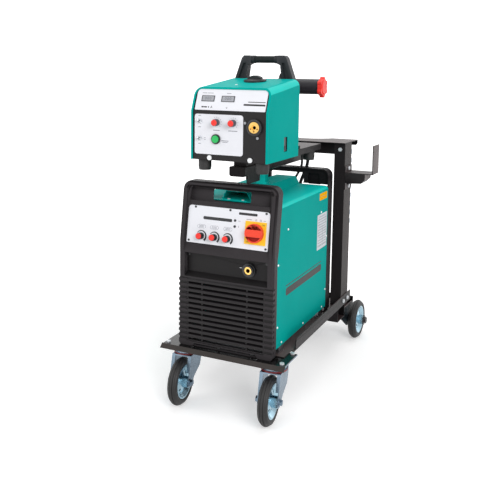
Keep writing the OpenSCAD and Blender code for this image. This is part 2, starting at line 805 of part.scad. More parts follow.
module front_bezel() {
    color([0.2, 0.19, 0.195]) to_origin() difference() {
        union() {
            intersection() {
                along_x(-half_w, half_w) rim_profile(bezel_d);
                along_y(-over, 120) difference() {
                    frame_outline(0);
                    frame_outline(bezel_t);
                }
            }
            intersection() {
                along_x(-half_w, half_w) rim_profile(bezel_t);
                along_y(-over, 120) frame_outline(0);
            }
            // tray round the hand hole, and the back of the socket recess
            on_lean(0, (hole_z - 4 - lean_z) / cos(lean_a)) translate([-recess_w / 2 - 3, 1, -2])
                cube([recess_w + 6, recess_d + 2, grip_h + 14]);
            box([-socket_w / 2 - 3, 1, socket_low - 3],
                [socket_w / 2 + 3, socket_depth + 3, step_z + 1]);
        }
        // window in the rim, down to the leaning face
        intersection() {
            along_x(-half_w, half_w) lean_profile(-20, 0);
            along_y(-over, 120) translate([0, step_z])
                round_rect(window_w, source_h - 12 - step_z, 14, 0.01);
        }
        // hand recess and hand hole
        on_lean(0, (hole_z - 4 - lean_z) / cos(lean_a)) {
            translate([0, 0, 0]) rotate([90, 0, 0]) translate([0, 0, -recess_d])
                linear_extrude(recess_d + 10) round_rect(recess_w, grip_h + 8, 10, 10);
            translate([0, 0, 4]) rotate([90, 0, 0]) translate([0, 0, -60])
                linear_extrude(90) round_rect(grip_w, grip_h, 8, 8);
        }
        // seat of the control panel, and the opening behind it
        on_lean(0, panel_s) {
            translate([0, panel_t, 0]) rotate([90, 0, 0]) linear_extrude(panel_t + 10)
                round_rect(panel_w + 1, panel_h + 1, 8, 3);
            translate([0, 30, 9]) rotate([90, 0, 0]) linear_extrude(60)
                round_rect(panel_w - 24, panel_h - 18, 6, 6);
        }
        // socket recess with a sloping sill
        along_x(-socket_w / 2, socket_w / 2) polygon([[-over, socket_low - 0.5],
            [0, socket_low], [socket_depth, socket_low + 13], [socket_depth, step_z - 2],
            [-over, step_z - 2]]);
        translate([socket_x, 0, socket_z]) rod_y(0, bezel_d, 15 + gap);
        // opening that the grille fills, grooves round the corners, and the foot cut-out
        box([-slot_w / 2, -over, grille_low], [slot_w / 2, bezel_d, grille_top]);
        for (i = [0 : louvres - 1], side = [0, 1]) mirror([side, 0, 0]) {
            box([slot_w / 2 - over, -over, louvre_z(i) - slot_h / 2],
                [half_w + over, 2, min(louvre_z(i) + slot_h / 2, grille_top)]);
            box([half_w - 2, -over, louvre_z(i) - slot_h / 2],
                [half_w + over, 12, min(louvre_z(i) + slot_h / 2, grille_top)]);
        }
        along_y(-over, bezel_t + over) translate([0, -over])
            polygon([[-112, 0], [112, 0], [104, 11], [-104, 11]]);
    }
}

louvre_pitch = (grille_top - grille_low - 1.2) / (louvres - 0.5);
function louvre_z(i) = grille_low + 9 + louvre_pitch * i;

module front_grille() {
    rear = 17;
    half = slot_w / 2 - 0.2;
    color([0.15, 0.145, 0.15]) to_origin() {
        difference() {
            box([-half, 3, grille_low + 0.2], [half, rear, grille_top - 0.2]);
            box([-half + 4, 0, grille_low + 4], [half - 4, 30, grille_top - 4]);
        }
        for (i = [0 : louvres - 2]) translate([0, 0, louvre_z(i) + louvre_pitch / 2])
            along_x(-half, half) polygon([[0.3, -4], [0.3, 1], [2.5, 4], [14, 8], [14, 5.5],
                [4, -1]]);
        for (x = [-81, 72])
            box([x - 2.5, 6, grille_low + 3.9], [x + 2.5, rear, grille_top - 3.9]);
    }
}

// Frame at the back, with the same outline as the front one
module rear_bezel() {
    y1 = source_rear;
    color([0.18, 0.17, 0.175]) to_origin() difference() {
        union() {
            along_y(cover_rear, y1) difference() {
                translate([0, rear_low]) round_rect(source_w, source_h - rear_low, frame_r,
                    foot_r);
                translate([0, rear_low + bezel_t]) round_rect(source_w - 2 * bezel_t,
                    source_h - rear_low - 2 * bezel_t, frame_r - bezel_t, foot_r - bezel_t);
            }
            along_y(cover_rear + 8, cover_rear + 20) difference() {
                translate([0, cover_top + 2]) round_rect(source_w - 4,
                    source_h - cover_top - 4, frame_r - 2, 3);
                translate([0, hole_z]) round_rect(grip_w, grip_h, 8, 8);
                for (side = [-1, 1]) translate([side * (grip_w / 2 + 38), hole_z])
                    round_rect(44, grip_h, 6, 6);
            }
            for (side = [-1, 1]) along_y(cover_rear + 17, cover_rear + 20)
                translate([side * (grip_w / 2 + 38), hole_z - 2]) round_rect(50, grip_h + 4, 6, 6);
        }
        box([-half_w + 14, cover_rear - over, rear_low - over],
            [half_w - 14, y1 + over, rear_low + 8]);
    }
}

module source_cover() {
    y0 = 25;
    color([0.11, 0.65, 0.62]) to_origin() difference() {
        along_y(y0, cover_rear) difference() {
            translate([0, cover_low]) round_rect(2 * cover_half, cover_top - cover_low,
                cover_r, 0.01);
            translate([0, cover_low - over]) round_rect(2 * (cover_half - skin),
                cover_top - cover_low + over - skin, cover_r - skin, 0.01);
        }
        // the front edge follows the back of the leaning frame
        along_x(-half_w - over, half_w + over) polygon([[y0 - 5, cover_low - 5],
            [bezel_d, cover_low - 5], [bezel_d, step_z], [bezel_d + step_y, lean_z],
            [bezel_d + step_y + lean_out, source_h], [y0 - 5, source_h]]);
    }
}

chassis_half = cover_half - skin - 1;

module source_chassis() {
    z0 = cover_low - 2;
    front = bezel_d + 6;
    back = cover_rear - 2;
    color([0.6, 0.61, 0.63]) to_origin() {
        box([-chassis_half, front, z0], [chassis_half, back, z0 + 2]);
        for (side = [0, 1]) mirror([side, 0, 0]) {
            box([chassis_half - 2, front, z0], [chassis_half, back, z0 + 30]);
            for (y = [front + 25, back - 60])
                box([half_w - 30, y, sheet], [half_w - 4, y + 40, z0]);
        }
        box([-chassis_half, front, z0], [chassis_half, front + 2, z0 + 30]);
        box([-chassis_half, back - 2, z0], [chassis_half, back, z0 + 30]);
        // upright that carries the inverter
        box([-70, front + 40, z0], [-68, fan_y - 26, 400]);
    }
}

module rear_panel() {
    y0 = cover_rear + 2;
    color([0.16, 0.16, 0.165]) to_origin() {
        difference() {
            union() {
                box([-half_w + bezel_t + 0.5, y0, rear_low + 14],
                    [half_w - bezel_t - 0.5, y0 + 2, cover_top - 2]);
                // mains gland
                translate([-95, y0, 100]) rod_y(0, 26, 15);
                // sockets for the two leads to the feeder
                translate([lead_x[0], y0 + 2, lead_z]) rod_y(0, 74, 12);
                translate([lead_x[1], y0 + 2, lead_z]) rod_y(0, 74, 10);
            }
            translate([0, y0 - over, fan_z]) rod_y(0, 4 + over, fan_dia / 2);
            translate([-95, y0, 100]) rod_y(4, 30, 7);
        }
        // finger guard and the fan's square housing
        difference() {
            union() {
                for (r = [20 : 15 : fan_dia / 2 - 4]) translate([0, y0, fan_z])
                    difference() {
                        rod_y(0.3, 1.7, r + 1.2);
                        rod_y(-over, 2 + over, r - 1.2);
                    }
                for (a = [0, 45, 90, 135]) translate([0, y0, fan_z]) rotate([0, a, 0])
                    translate([-fan_dia / 2 - 1, 0.4, -1.5]) cube([fan_dia + 2, 1.2, 3]);
                translate([0, fan_y + 15, fan_z]) rod_y(0, y0 - fan_y - 14, 9);
            }
            translate([0, fan_y - 30, fan_z]) rod_y(0, 64, stem_r + fit);
        }
        difference() {
            box([-fan_dia / 2 - 6, fan_y - 14, fan_z - fan_dia / 2 - 6],
                [fan_dia / 2 + 6, y0 + 0.2, fan_z + fan_dia / 2 + 6]);
            translate([0, fan_y - 15, fan_z]) rod_y(0, y0 - fan_y + 20, fan_dia / 2 + 1.5);
        }
    }
}

module fan_rotor() {
    color([0.12, 0.12, 0.13]) to_origin() translate([0, fan_y, fan_z]) {
        difference() {
            rod_y(-12, 12, 22);
            rod_y(8, 13, 14);
        }
        rod_y(8, 33, stem_r);
        for (a = [0 : 60 : 300]) rotate([0, a, 0]) translate([20, 0, 0]) rotate([35, 0, 0])
            translate([0, -1, -13]) cube([fan_dia / 2 - 20 - 2.5, 2, 26]);
    }
}

module heatsink() {
    x0 = -67.2;
    y0 = bezel_d + 60;
    y1 = fan_y - 30;
    fins = 12;
    color([0.75, 0.76, 0.77]) to_origin() {
        box([x0 - 0.5, y0, 60], [x0 + 8, y1, 330]);
        for (i = [0 : fins - 1]) box([x0 + 7.9, y0, 62 + i * 24], [x0 + 60, y1, 65 + i * 24]);
        // switching modules on the other side of the fins
        for (i = [0 : 2]) box([-98, y0 + 30 + i * 90, 110], [-70.3, y0 + 90 + i * 90, 200]);
        box([-84, y0, 240], [-78, y1, 380]);
        box([-79, y0 + 20, 250], [-70.3, y0 + 40, 370]);
        for (i = [0 : 3]) translate([-84, y0 + 40 + i * 62, 310]) rod_x(-50, 0.01, 17);
    }
}

module transformer() {
    x = 74;
    y = 210;
    z0 = cover_low;
    color([0.5, 0.3, 0.18]) to_origin() {
        difference() {
            box([x - 55, y - 30, z0], [x + 55, y + 30, z0 + 110]);
            for (side = [-1, 1]) box([x + side * 28 - 15, y - 32, z0 + 20],
                [x + side * 28 + 15, y + 32, z0 + 90]);
        }
        difference() {
            along_y(y - 45, y + 45) translate([x, z0 + 22]) round_rect(80, 66, 10, 10);
            box([x - 13.5, y - 29.9, z0], [x + 13.5, y + 29.9, z0 + 110]);
            for (side = [-1, 1]) box([x + side * 49 - 6.1, y - 30.1, z0],
                [x + side * 49 + 6.1, y + 30.1, z0 + 110]);
        }
    }
}

// Control panel with the yellow plate of the main switch, and what is fixed behind it
module control_panel() {
    color([0.93, 0.93, 0.95]) to_origin() {
        on_lean(0, panel_s + 0.5) difference() {
            rotate([90, 0, 0]) linear_extrude(panel_t) round_rect(panel_w, panel_h, 10, 3);
            for (i = [0 : 2]) translate([knob_x0 + i * knob_pitch, 0, knob_s - panel_s])
                rod_y(-panel_t - over, over, 5);
            translate([switch_x, 0, switch_s - panel_s]) rod_y(-panel_t - over, over, 8);
            for (s = lamp_s) translate([lamp_x, 0, s - panel_s]) rod_y(-panel_t - over, over, 3);
        }
        for (i = [0 : 2]) on_lean(knob_x0 + i * knob_pitch, knob_s + 0.5) difference() {
            union() {
                rod_y(-panel_t - 0.1, 4, 4.8);
                rod_y(0.2, 14, 11);
            }
            rod_y(-panel_t - over, 12, stem_r + fit);
        }
        on_lean(switch_x, switch_s + 0.5) difference() {
            union() {
                translate([-switch_plate_w / 2, -panel_t - switch_plate_t,
                    -switch_plate_w / 2]) cube([switch_plate_w, switch_plate_t, switch_plate_w]);
                rod_y(-panel_t - 0.1, 0.3, 7.8);
                translate([-24, 0.2, -24]) cube([48, 22, 48]);
            }
            rod_y(-panel_t - switch_plate_t - over, 20, 4 + fit);
        }
        for (s = lamp_s) on_lean(lamp_x, s + 0.5) {
            rod_y(-panel_t - 1.5, 6, 2.8);
            rod_y(-panel_t - 0.8, -panel_t, 4);
        }
    }
}

// Turning knob: skirt, cap and pointer, with its face towards -Y
module knob(r, h, stem) {
    dome = 4;
    rotate([90, 0, 0]) rotate_extrude() {
        square([r, h / 2]);
        square([r - 1 - dome, h]);
        square([r - 1, h - dome]);
        translate([r - 1 - dome, h - dome]) circle(dome);
    }
    translate([-1, -h - 0.5, 0]) cube([2, h * 0.5, r - 1]);
    rod_y(-0.01, stem, stem_r);
}

module source_knob(i) {
    color([0.95, 0.2, 0.17]) to_origin() on_lean(knob_x0 + i * knob_pitch, knob_s + 0.5)
        translate([0, -panel_t - knob_gap, 0]) knob(knob_dia / 2, knob_h, 12);
}
module knob_left() { source_knob(0); }
module knob_centre() { source_knob(1); }
module knob_right() { source_knob(2); }

module main_switch() {
    color([0.9, 0.25, 0.17]) to_origin() on_lean(switch_x, switch_s + 0.5)
        translate([0, -panel_t - switch_plate_t - knob_gap, 0]) {
            difference() {
                rod_y(-13, 0, switch_dia / 2);
                rod_y(-14, -7, switch_dia / 2 - 4);
            }
            intersection() {
                rod_y(-switch_h, -5, switch_dia / 2 - 1);
                translate([-switch_dia / 2, -switch_h - over, -11])
                    cube([switch_dia, switch_h, 22]);
            }
            rod_y(-0.01, 18, 4);
        }
}

// Output socket: black collar and brass insert with its bore
module output_socket() {
    color([0.8, 0.6, 0.3]) to_origin() translate([socket_x, 0, socket_z]) {
        difference() {
            union() {
                rod_y(socket_depth - 8, socket_depth, socket_dia / 2);
                rod_y(socket_depth - 14, socket_depth, socket_dia / 2 - 4);
                rod_y(socket_depth - 0.01, bezel_d + 6, 15);
            }
            rod_y(0, bezel_d + 10, 12);
        }
        difference() {
            rod_y(socket_depth - 12, bezel_d + 16, 12 - fit);
            rod_y(0, bezel_d + 4, dinse_bore / 2);
        }
    }
}

// Roof tunnel and the pillar that carries the feeder's arm
module top_bridge() {
    color([0.16, 0.68, 0.65]) to_origin() {
        difference() {
            along_y(bridge_front, cover_rear) polygon([[-bridge_foot / 2, cover_top],
                [bridge_foot / 2, cover_top], [bridge_w / 2, bridge_top],
                [-bridge_w / 2, bridge_top]]);
            along_y(bridge_front - over, cover_rear - 20) polygon([
                [-bridge_foot / 2 + 5, cover_top + skin], [bridge_foot / 2 - 5, cover_top + skin],
                [bridge_w / 2 - 2, bridge_top - skin], [-bridge_w / 2 + 2, bridge_top - skin]]);
        }
        box([-bridge_foot / 2 + 12, bridge_front - 10, cover_top],
            [bridge_foot / 2 - 12, bridge_front + 0.01, cover_top + skin]);
        translate([0, post_y, bridge_top - 0.5]) cylinder(h = arm_z - bridge_top + 0.5,
            r = post_r);
        translate([0, post_y, bridge_top - 0.5]) cylinder(h = 6, r = post_r + 5);
    }
}

screw_r = 3.6;

module screw_side(y, z, x) {
    for (side = [-1, 1]) translate([side * x, y, z]) rotate([0, side * 90, 0])
        cylinder(h = 1.8, r1 = screw_r, r2 = screw_r - 1.2);
}

// Small screws of the source and the feeder
module panel_screws() {
    color([0.9, 0.9, 0.9]) to_origin() {
        for (p = [[bezel_d + 8, 92], [bezel_d + 7, 284], [cover_rear - 8, 91],
            [cover_rear - 8, 284], [110, 379], [413, 379], [72, 35], [257, 35], [440, 35]])
            screw_side(p[0], p[1], cover_half);
        for (x = [-113, 6, 125]) on_lean(x, panel_h) rod_y(-panel_t - 1.5, -panel_t, 3.4);
        for (x = [-129, 130]) on_lean(x, 11) rod_y(-panel_t - 1.5, -panel_t, 3.4);
        for (x = [-24, 24]) translate([x, bridge_front - 5, cover_top + skin])
            cylinder(h = 2.5, r = 4.5);
        for (x = [-64, 71]) translate([x, feeder_y, feeder_z + 7.5]) rod_y(-3, 0, 7.5);
        for (p = [[53, 117], [94, 74]]) translate([p[0], feeder_y, feeder_z + p[1]])
            rod_y(-2, 0, 4);
        on_roof(-16, 98) cylinder(h = 2, r = 4);
    }
}

// ---------------------------------------------------------------- feeder

// Space under the feeder's cover, inset by t
module feeder_form(t, front, back) {
    intersection() {
        along_x(-fw + t, fw - t) polygon([[front, feeder_z], [front, edge_z],
            [front + feeder_lean, roof_z], [front + feeder_lean, roof_z + 60],
            [back, roof_z + 90], [back, feeder_z]]);
        translate([0, roof_y, roof_z]) rotate([roof_a, 0, 0])
            along_y(-200, feeder_d + 60) translate([0, -400])
            round_rect(feeder_w - 2 * t, 400 - t, feeder_r - t, 1);
    }
}

module feeder_cover() {
    front = feeder_y - 3;
    color([0.11, 0.65, 0.62]) to_origin() difference() {
        feeder_form(0, front, feeder_rear);
        feeder_form(skin, front + 2, feeder_rear + 60);
        feeder_form(cover_lip, front - 60, front + 40);
        // grip slot low on each side
        for (side = [-1, 1]) box([side * fw - 3, 141, base_top + 4],
            [side * fw + 3, 169, base_top + 49]);
        // hole for the roof lock
        on_roof(lock_x, lock_y) translate([0, 0, -20]) cylinder(h = 40, r = 10);
    }
}

module feeder_front() {
    inner = skin + gap;
    color([0.17, 0.155, 0.16]) to_origin() {
        difference() {
            feeder_form(inner, feeder_y, feeder_rear - 1);
            feeder_form(inner - 1, feeder_y + front_t, feeder_rear + 50);
            for (z = toggle_z) translate([toggle_x, 0, z]) rod_y(0, 60, 6.5);
            for (x = fknob_x) translate([x, 0, fknob_z]) rod_y(0, 60, 5);
            translate([button_x, 0, button_z]) rod_y(0, 60, button_r + 2.5);
            translate([torch_x, 0, torch_z]) rod_y(0, 60, torch_dia / 2 + fit);
        }
    }
}

// The two white face plates, with switch bushes, button ring and display windows
module feeder_panels() {
    t = 1.5;
    color([0.93, 0.93, 0.96]) to_origin() {
        difference() {
            along_y(feeder_y - t, feeder_y) translate([-34, feeder_z + 18])
                round_rect(162, 121, 8, 8);
            for (z = toggle_z) translate([toggle_x, 0, z]) rod_y(0, 60, 6.5);
            for (x = fknob_x) translate([x, 0, fknob_z]) rod_y(0, 60, 5);
            translate([button_x, 0, button_z]) rod_y(0, 60, button_r + 2.5);
        }
        on_slope(0, 3) rotate([90, 0, 0]) linear_extrude(t)
            round_rect(feeder_w - 22, slope_len - 11, 12, 3);
        for (x = [-77, -10]) on_slope(x, 30) translate([-22, -t - 1, 0]) cube([44, 1, 19]);
        for (z = toggle_z) translate([toggle_x, feeder_y, z]) difference() {
            union() {
                rod_y(-6, 12, 6.3);
                translate([0, -t, 0]) rotate([90, 0, 0]) hex_head(8.5, 2);
                translate([-7, 5, -12]) cube([14, 18, 24]);
            }
            translate([0, 1, 0]) sphere(r = 5);
            translate([0, 1, 0]) rod_x(-8, 8, 1.5 + fit);
            rod_y(-8, 0, 5);
        }
        for (x = fknob_x) translate([x, feeder_y, fknob_z]) difference() {
            union() {
                rod_y(-t - 0.1, 4, 4.8);
                rod_y(front_t, 16, 11);
            }
            rod_y(-5, 13, stem_r + fit);
        }
        translate([button_x, feeder_y, button_z]) difference() {
            union() {
                rod_y(-t - 4, -t, button_r + 4);
                rod_y(-t - 0.1, 24, button_r + 2.3);
            }
            rod_y(-8, 16, button_r + 0.08);
        }
    }
}

module toggle(i) {
    color([0.85, 0.85, 0.86]) to_origin()
        translate([toggle_x, feeder_y + 1, toggle_z[i]]) rotate([-14, 0, 0]) {
            sphere(r = 5 - fit);
            rod_x(-6, 6, 1.5);
            rod_y(-17, 0, 2);
            translate([0, -17, 0]) sphere(r = 3.2);
        }
}
module toggle_lower() { toggle(0); }
module toggle_upper() { toggle(1); }

module feeder_knob(i) {
    color([0.95, 0.2, 0.17]) to_origin()
        translate([fknob_x[i], feeder_y - 1.5 - knob_gap, fknob_z])
        knob(knob_dia / 2, knob_h, 12);
}
module feeder_knob_left() { feeder_knob(0); }
module feeder_knob_right() { feeder_knob(1); }

module push_button() {
    color([0.1, 0.7, 0.35]) to_origin() translate([button_x, feeder_y - 1.5, button_z]) {
        rod_y(-4 - button_travel - 1, 8, button_r);
    }
}

// Torch socket: flange, brass block with the wire bore and three small contacts
module torch_socket() {
    color([0.85, 0.66, 0.33]) to_origin() translate([torch_x, feeder_y, torch_z]) {
        difference() {
            rod_y(-8, torch_len, torch_dia / 2);
            rod_y(-12, torch_len + over, torch_bore / 2);
            rod_y(-12, -4, torch_bore / 2 + 3);
            for (a = [200, 270, 340]) rotate([0, -a, 0]) translate([11.5, 0, 0])
                rod_y(-12, 6, 2.2);
        }
        difference() {
            rod_y(-7, 0, torch_dia / 2 + 7.5);
            rod_y(-16, 2, torch_dia / 2 + fit);
        }
    }
}

module feeder_base() {
    x1 = fw - skin - gap;
    color([0.3, 0.27, 0.27]) to_origin() {
        box([-x1, feeder_y + front_t + 0.2, base_top - base_t], [x1, base_rear, base_top]);
        for (side = [0, 1]) mirror([side, 0, 0])
            box([x1 - 2, feeder_y + front_t + 0.2, feeder_z], [x1, base_rear, base_top]);
        // wall behind the drive compartment
        intersection() {
            feeder_form(skin + gap, feeder_y, feeder_rear);
            difference() {
                box([-fw, feeder_rear - 3, base_top - 0.01], [fw, feeder_rear - 1, roof_z + 93]);
                translate([torch_x, 0, torch_z]) rod_y(feeder_rear - 5, feeder_rear + 5, 9);
            }
        }
        // glands of the two leads, and the wire inlet behind the cover
        for (g = [[weld_route[0], weld_dia / 2], [control_route[0], control_dia / 2]])
            translate([g[0][0], g[0][1], feeder_z + 5]) difference() {
                cylinder(h = 12.1, r = g[1] + 5);
                translate([0, 2, -2]) cylinder(h = 14, r = g[1] + 2.5);
            }
        difference() {
            translate([108, feeder_rear + 30, base_top - 0.01]) cylinder(h = 10, r = 13);
            translate([108, feeder_rear + 30, base_top + 2]) cylinder(h = 12, r = 7);
        }
    }
}

module feeder_feet() {
    color([0.07, 0.07, 0.075]) to_origin() for (side = [-1, 1], y = foot_y)
        translate([side * foot_x, y, feeder_z - foot_drop]) {
            cylinder(h = foot_drop + base_top - base_t - feeder_z, r = foot_dia / 2 - 3);
            cylinder(h = 9, r1 = foot_dia / 2 - 2, r2 = foot_dia / 2);
            translate([0, 0, 9]) cylinder(h = foot_drop - 12, r = foot_dia / 2);
        }
}

// Carrying handle behind the cover: two tapered brackets and a round grip
module feeder_handle() {
    wall = feeder_rear - 1;
    front = feeder_rear + 2;
    back = front + handle_t - 8;
    mid = (front + back) / 2;
    top = handle_base + handle_h;
    color([0.3, 0.29, 0.3]) to_origin() {
        for (side = [0, 1]) mirror([side, 0, 0]) difference() {
            union() {
                along_y(front, back) polygon([[handle_foot - 42, handle_base - 6],
                    [handle_foot, handle_base - 6], [handle_foot, handle_base],
                    [handle_top + 2, top - 8], [handle_top - 6, top], [handle_top - 26, top],
                    [handle_top - 31, top - 6], [handle_top - 31, top - 26],
                    [handle_top - 19, top - 32], [handle_top - 19, top - 36],
                    [handle_foot - 42, handle_base + 12]]);
                along_y(wall, back) polygon([[handle_foot - 38, handle_base - 50],
                    [handle_foot - 8, handle_base - 50], [handle_foot - 2, handle_base - 5.9],
                    [handle_foot - 42, handle_base - 5.9]]);
            }
            along_y(front - over, front + 6) polygon([[handle_foot - 32, handle_base + 4],
                [handle_foot - 12, handle_base + 4], [handle_top - 4, top - 24],
                [handle_top - 14, top - 24]]);
        }
        translate([0, mid, top - handle_dia / 2]) {
            rod_x(-handle_top + 30, handle_top - 30, handle_dia / 2 - 1.5);
            for (side = [0, 1]) mirror([side, 0, 0])
                rod_x(handle_top - 42, handle_top - 30, handle_dia / 2);
        }
    }
}

// Quarter-turn lock on the roof
module cover_lock() {
    color([0.08, 0.08, 0.085]) to_origin() on_roof(lock_x, lock_y) {
        translate([0, 0, gap]) {
            cylinder(h = 5, r = 36);
            translate([0, 0, 4.9]) cylinder(h = 4, r1 = 32, r2 = 22);
            translate([0, 8, 4]) rotate([90, 0, 0]) linear_extrude(16)
                polygon([[-24, 0], [24, 0], [22, 9], [9, 14], [-9, 14], [-22, 9]]);
        }
        translate([0, 0, -12]) cylinder(h = 12 + gap + 0.1, r = 10 - fit);
        translate([-16, -5, -14]) cube([32, 10, 4]);
    }
}

module spool_bracket() {
    half = spool_bracket_w / 2;
    color([0.1, 0.1, 0.105]) to_origin() {
        difference() {
            union() {
                for (x = [-4, 9]) along_x(x, x + 3) {
                    translate([hub_y, base_top]) translate([-half, 0])
                        square([spool_bracket_w, 225]);
                    translate([hub_y, base_top + 222]) circle(22);
                }
                box([-4, hub_y - half, base_top], [12, hub_y - half + 3, base_top + 220]);
                box([-30, hub_y - half, base_top], [12, hub_y + half, base_top + 3]);
            }
            translate([0, hub_y, hub_z]) rod_x(-10, 20, shaft_r + fit);
        }
        translate([0, hub_y, hub_z]) {
            rod_x(-10, hub_x + hub_len + nut_w - 5, shaft_r);
            difference() {
                rod_x(12, hub_x - gap, 16);
                rod_x(10, hub_x + over, shaft_r + fit);
            }
        }
    }
}

module spool_hub() {
    color([0.08, 0.08, 0.085]) to_origin() translate([hub_x, hub_y, hub_z]) {
        difference() {
            union() {
                rod_x(0, hub_len, hub_dia / 2);
                rod_x(0, 5, hub_dia / 2 + 12);
                for (a = [0, 120, 240]) rotate([a, 0, 0])
                    translate([0, -2.5, hub_dia / 2 - 3]) cube([hub_len - 2, 5, 4.5]);
            }
            rod_x(-over, hub_len + over, shaft_r + fit);
            rod_x(20, hub_len + over, hub_dia / 2 - 5);
        }
        difference() {
            rod_x(19.9, hub_len - 1, shaft_r + 5);
            rod_x(0, hub_len + over, shaft_r + fit);
        }
    }
}

module spool_nut() {
    color([0.95, 0.25, 0.22]) to_origin()
        translate([hub_x + hub_len + gap, hub_y, hub_z]) difference() {
            union() {
                rod_x(0, nut_w - 3, hub_dia / 2 + 5);
                rod_x(0, nut_w, hub_dia / 2 - 2);
                for (a = [0 : 60 : 300]) rotate([a, 0, 0]) translate([0, 0, hub_dia / 2 + 1.5])
                    rod_x(0, nut_w - 2, 8.5);
            }
            rod_x(-over, nut_w - 4, shaft_r + fit);
        }
}

// Drive: mounting plate on the base, gear motor, wire guides and the roll's spindle
module drive_unit() {
    low_z = torch_z - roll_r - 0.6;
    color([0.62, 0.63, 0.66]) to_origin() {
        difference() {
            union() {
                box([drive_x - 10, feeder_y + 62, base_top], [drive_x, 190, torch_z + 30]);
                box([drive_x - 30, feeder_y + 62, base_top], [drive_x, 190, base_top + 4]);
            }
            translate([0, roll_y, low_z]) rod_x(drive_x - 12, drive_x + 2, 6 + fit);
        }
        translate([0, roll_y, low_z]) difference() {
            rod_x(drive_x - 110, drive_x - 10, 30);
            rod_x(drive_x - 30, drive_x, 6 + fit);
        }
        // wire guide in line with the torch socket
        difference() {
            union() {
                translate([torch_x, 0, torch_z]) rod_y(roll_y + roll_r + 4, 176, 4);
                box([drive_x - 0.01, 150, torch_z - 12], [torch_x, 174, torch_z]);
            }
            translate([torch_x, 0, torch_z]) rod_y(roll_y, 180, 1.2);
        }
        translate([0, arm_pivot_y, arm_pivot_z]) rod_x(drive_x - 5, torch_x + 10, 5);
    }
}

module drive_roll() {
    low_z = torch_z - roll_r - 0.6;
    color([0.8, 0.8, 0.82]) to_origin() translate([0, roll_y, low_z]) {
        rod_x(torch_x - roll_w / 2, torch_x + roll_w / 2, roll_r);
        rod_x(torch_x + roll_w / 2 - 0.01, torch_x + roll_w / 2 + 8, 8);
        rod_x(drive_x - 28, torch_x, 6);
    }
}

// Sprung arm with the pressure roll on it
module pressure_arm() {
    top_z = torch_z + roll_r + 0.6;
    color([0.25, 0.25, 0.27]) to_origin() {
        difference() {
            union() {
                along_x(drive_x + 1, drive_x + 6) {
                    translate([arm_pivot_y, arm_pivot_z]) circle(11);
                    polygon([[arm_pivot_y + 8, arm_pivot_z - 8],
                        [arm_pivot_y + 8, arm_pivot_z + 24], [roll_y - 24, top_z + 14],
                        [roll_y - 24, top_z - 4]]);
                }
                box([drive_x + 1, roll_y - 24, top_z + 4],
                    [torch_x + 8, roll_y - 19, top_z + 14]);
            }
            translate([0, arm_pivot_y, arm_pivot_z]) rod_x(drive_x, torch_x + 12, 5 + fit);
            translate([0, roll_y, top_z]) rod_x(drive_x, drive_x + 8, 4);
        }
        translate([0, roll_y, top_z]) {
            rod_x(torch_x - roll_w / 2, torch_x + roll_w / 2, roll_r);
            rod_x(drive_x + 1, torch_x + roll_w / 2 + 5, 4);
        }
    }
}

module weld_cable() {
    color([0.06, 0.06, 0.065]) to_origin() swept_tube(weld_route, weld_dia, 12);
}

module control_cable() {
    color([0.06, 0.06, 0.065]) to_origin() swept_tube(control_route, control_dia, 12);
}

front_plate();
side_rails();
rear_columns();
crossbar();
feeder_arm();
rear_beam();
cylinder_shelf();
rear_axle();
hook_bracket();
retaining_chain();
hex_bolts();
caster_plates();
caster_fork_left();
caster_fork_right();
front_tyre_left();
front_tyre_right();
front_rim_left();
front_rim_right();
rear_tyre_left();
rear_tyre_right();
rear_rim_left();
rear_rim_right();
source_chassis();
source_cover();
front_bezel();
front_grille();
rear_bezel();
rear_panel();
control_panel();
main_switch();
knob_left();
knob_centre();
knob_right();
output_socket();
top_bridge();
heatsink();
transformer();
fan_rotor();
panel_screws();
feeder_base();
feeder_cover();
feeder_front();
feeder_panels();
toggle_lower();
toggle_upper();
feeder_knob_left();
feeder_knob_right();
push_button();
torch_socket();
feeder_feet();
feeder_handle();
cover_lock();
spool_bracket();
spool_hub();
spool_nut();
drive_unit();
drive_roll();
pressure_arm();
weld_cable();
control_cable();
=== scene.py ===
import math
import bmesh
import bpy
from mathutils import Matrix, Vector


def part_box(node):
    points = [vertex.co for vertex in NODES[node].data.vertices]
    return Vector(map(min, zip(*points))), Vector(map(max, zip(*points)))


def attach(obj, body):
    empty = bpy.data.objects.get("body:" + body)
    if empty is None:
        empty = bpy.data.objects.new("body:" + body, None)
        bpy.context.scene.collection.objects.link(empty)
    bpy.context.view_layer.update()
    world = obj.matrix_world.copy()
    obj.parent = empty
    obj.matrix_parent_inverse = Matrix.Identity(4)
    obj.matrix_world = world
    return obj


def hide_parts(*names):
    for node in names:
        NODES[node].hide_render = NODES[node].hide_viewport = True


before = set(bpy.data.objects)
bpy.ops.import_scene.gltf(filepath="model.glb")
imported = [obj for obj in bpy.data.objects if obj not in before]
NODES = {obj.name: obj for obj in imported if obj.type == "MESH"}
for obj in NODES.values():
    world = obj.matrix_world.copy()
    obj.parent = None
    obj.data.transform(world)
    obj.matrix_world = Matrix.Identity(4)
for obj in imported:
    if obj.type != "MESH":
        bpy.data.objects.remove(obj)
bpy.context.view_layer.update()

# ---------------------------------------------------------------- camera
# Places below are in mm in the construction frame: its origin is at the front of the source on
# the trolley plate, X points right, Z points up and the front faces -Y.
PLATE_AHEAD = 0.032  # the trolley plate reaches this far ahead of the source, in m
low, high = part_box("front_plate")
OX, OY, OZ = (low[0] + high[0]) / 2, low[1] + PLATE_AHEAD, high[2]

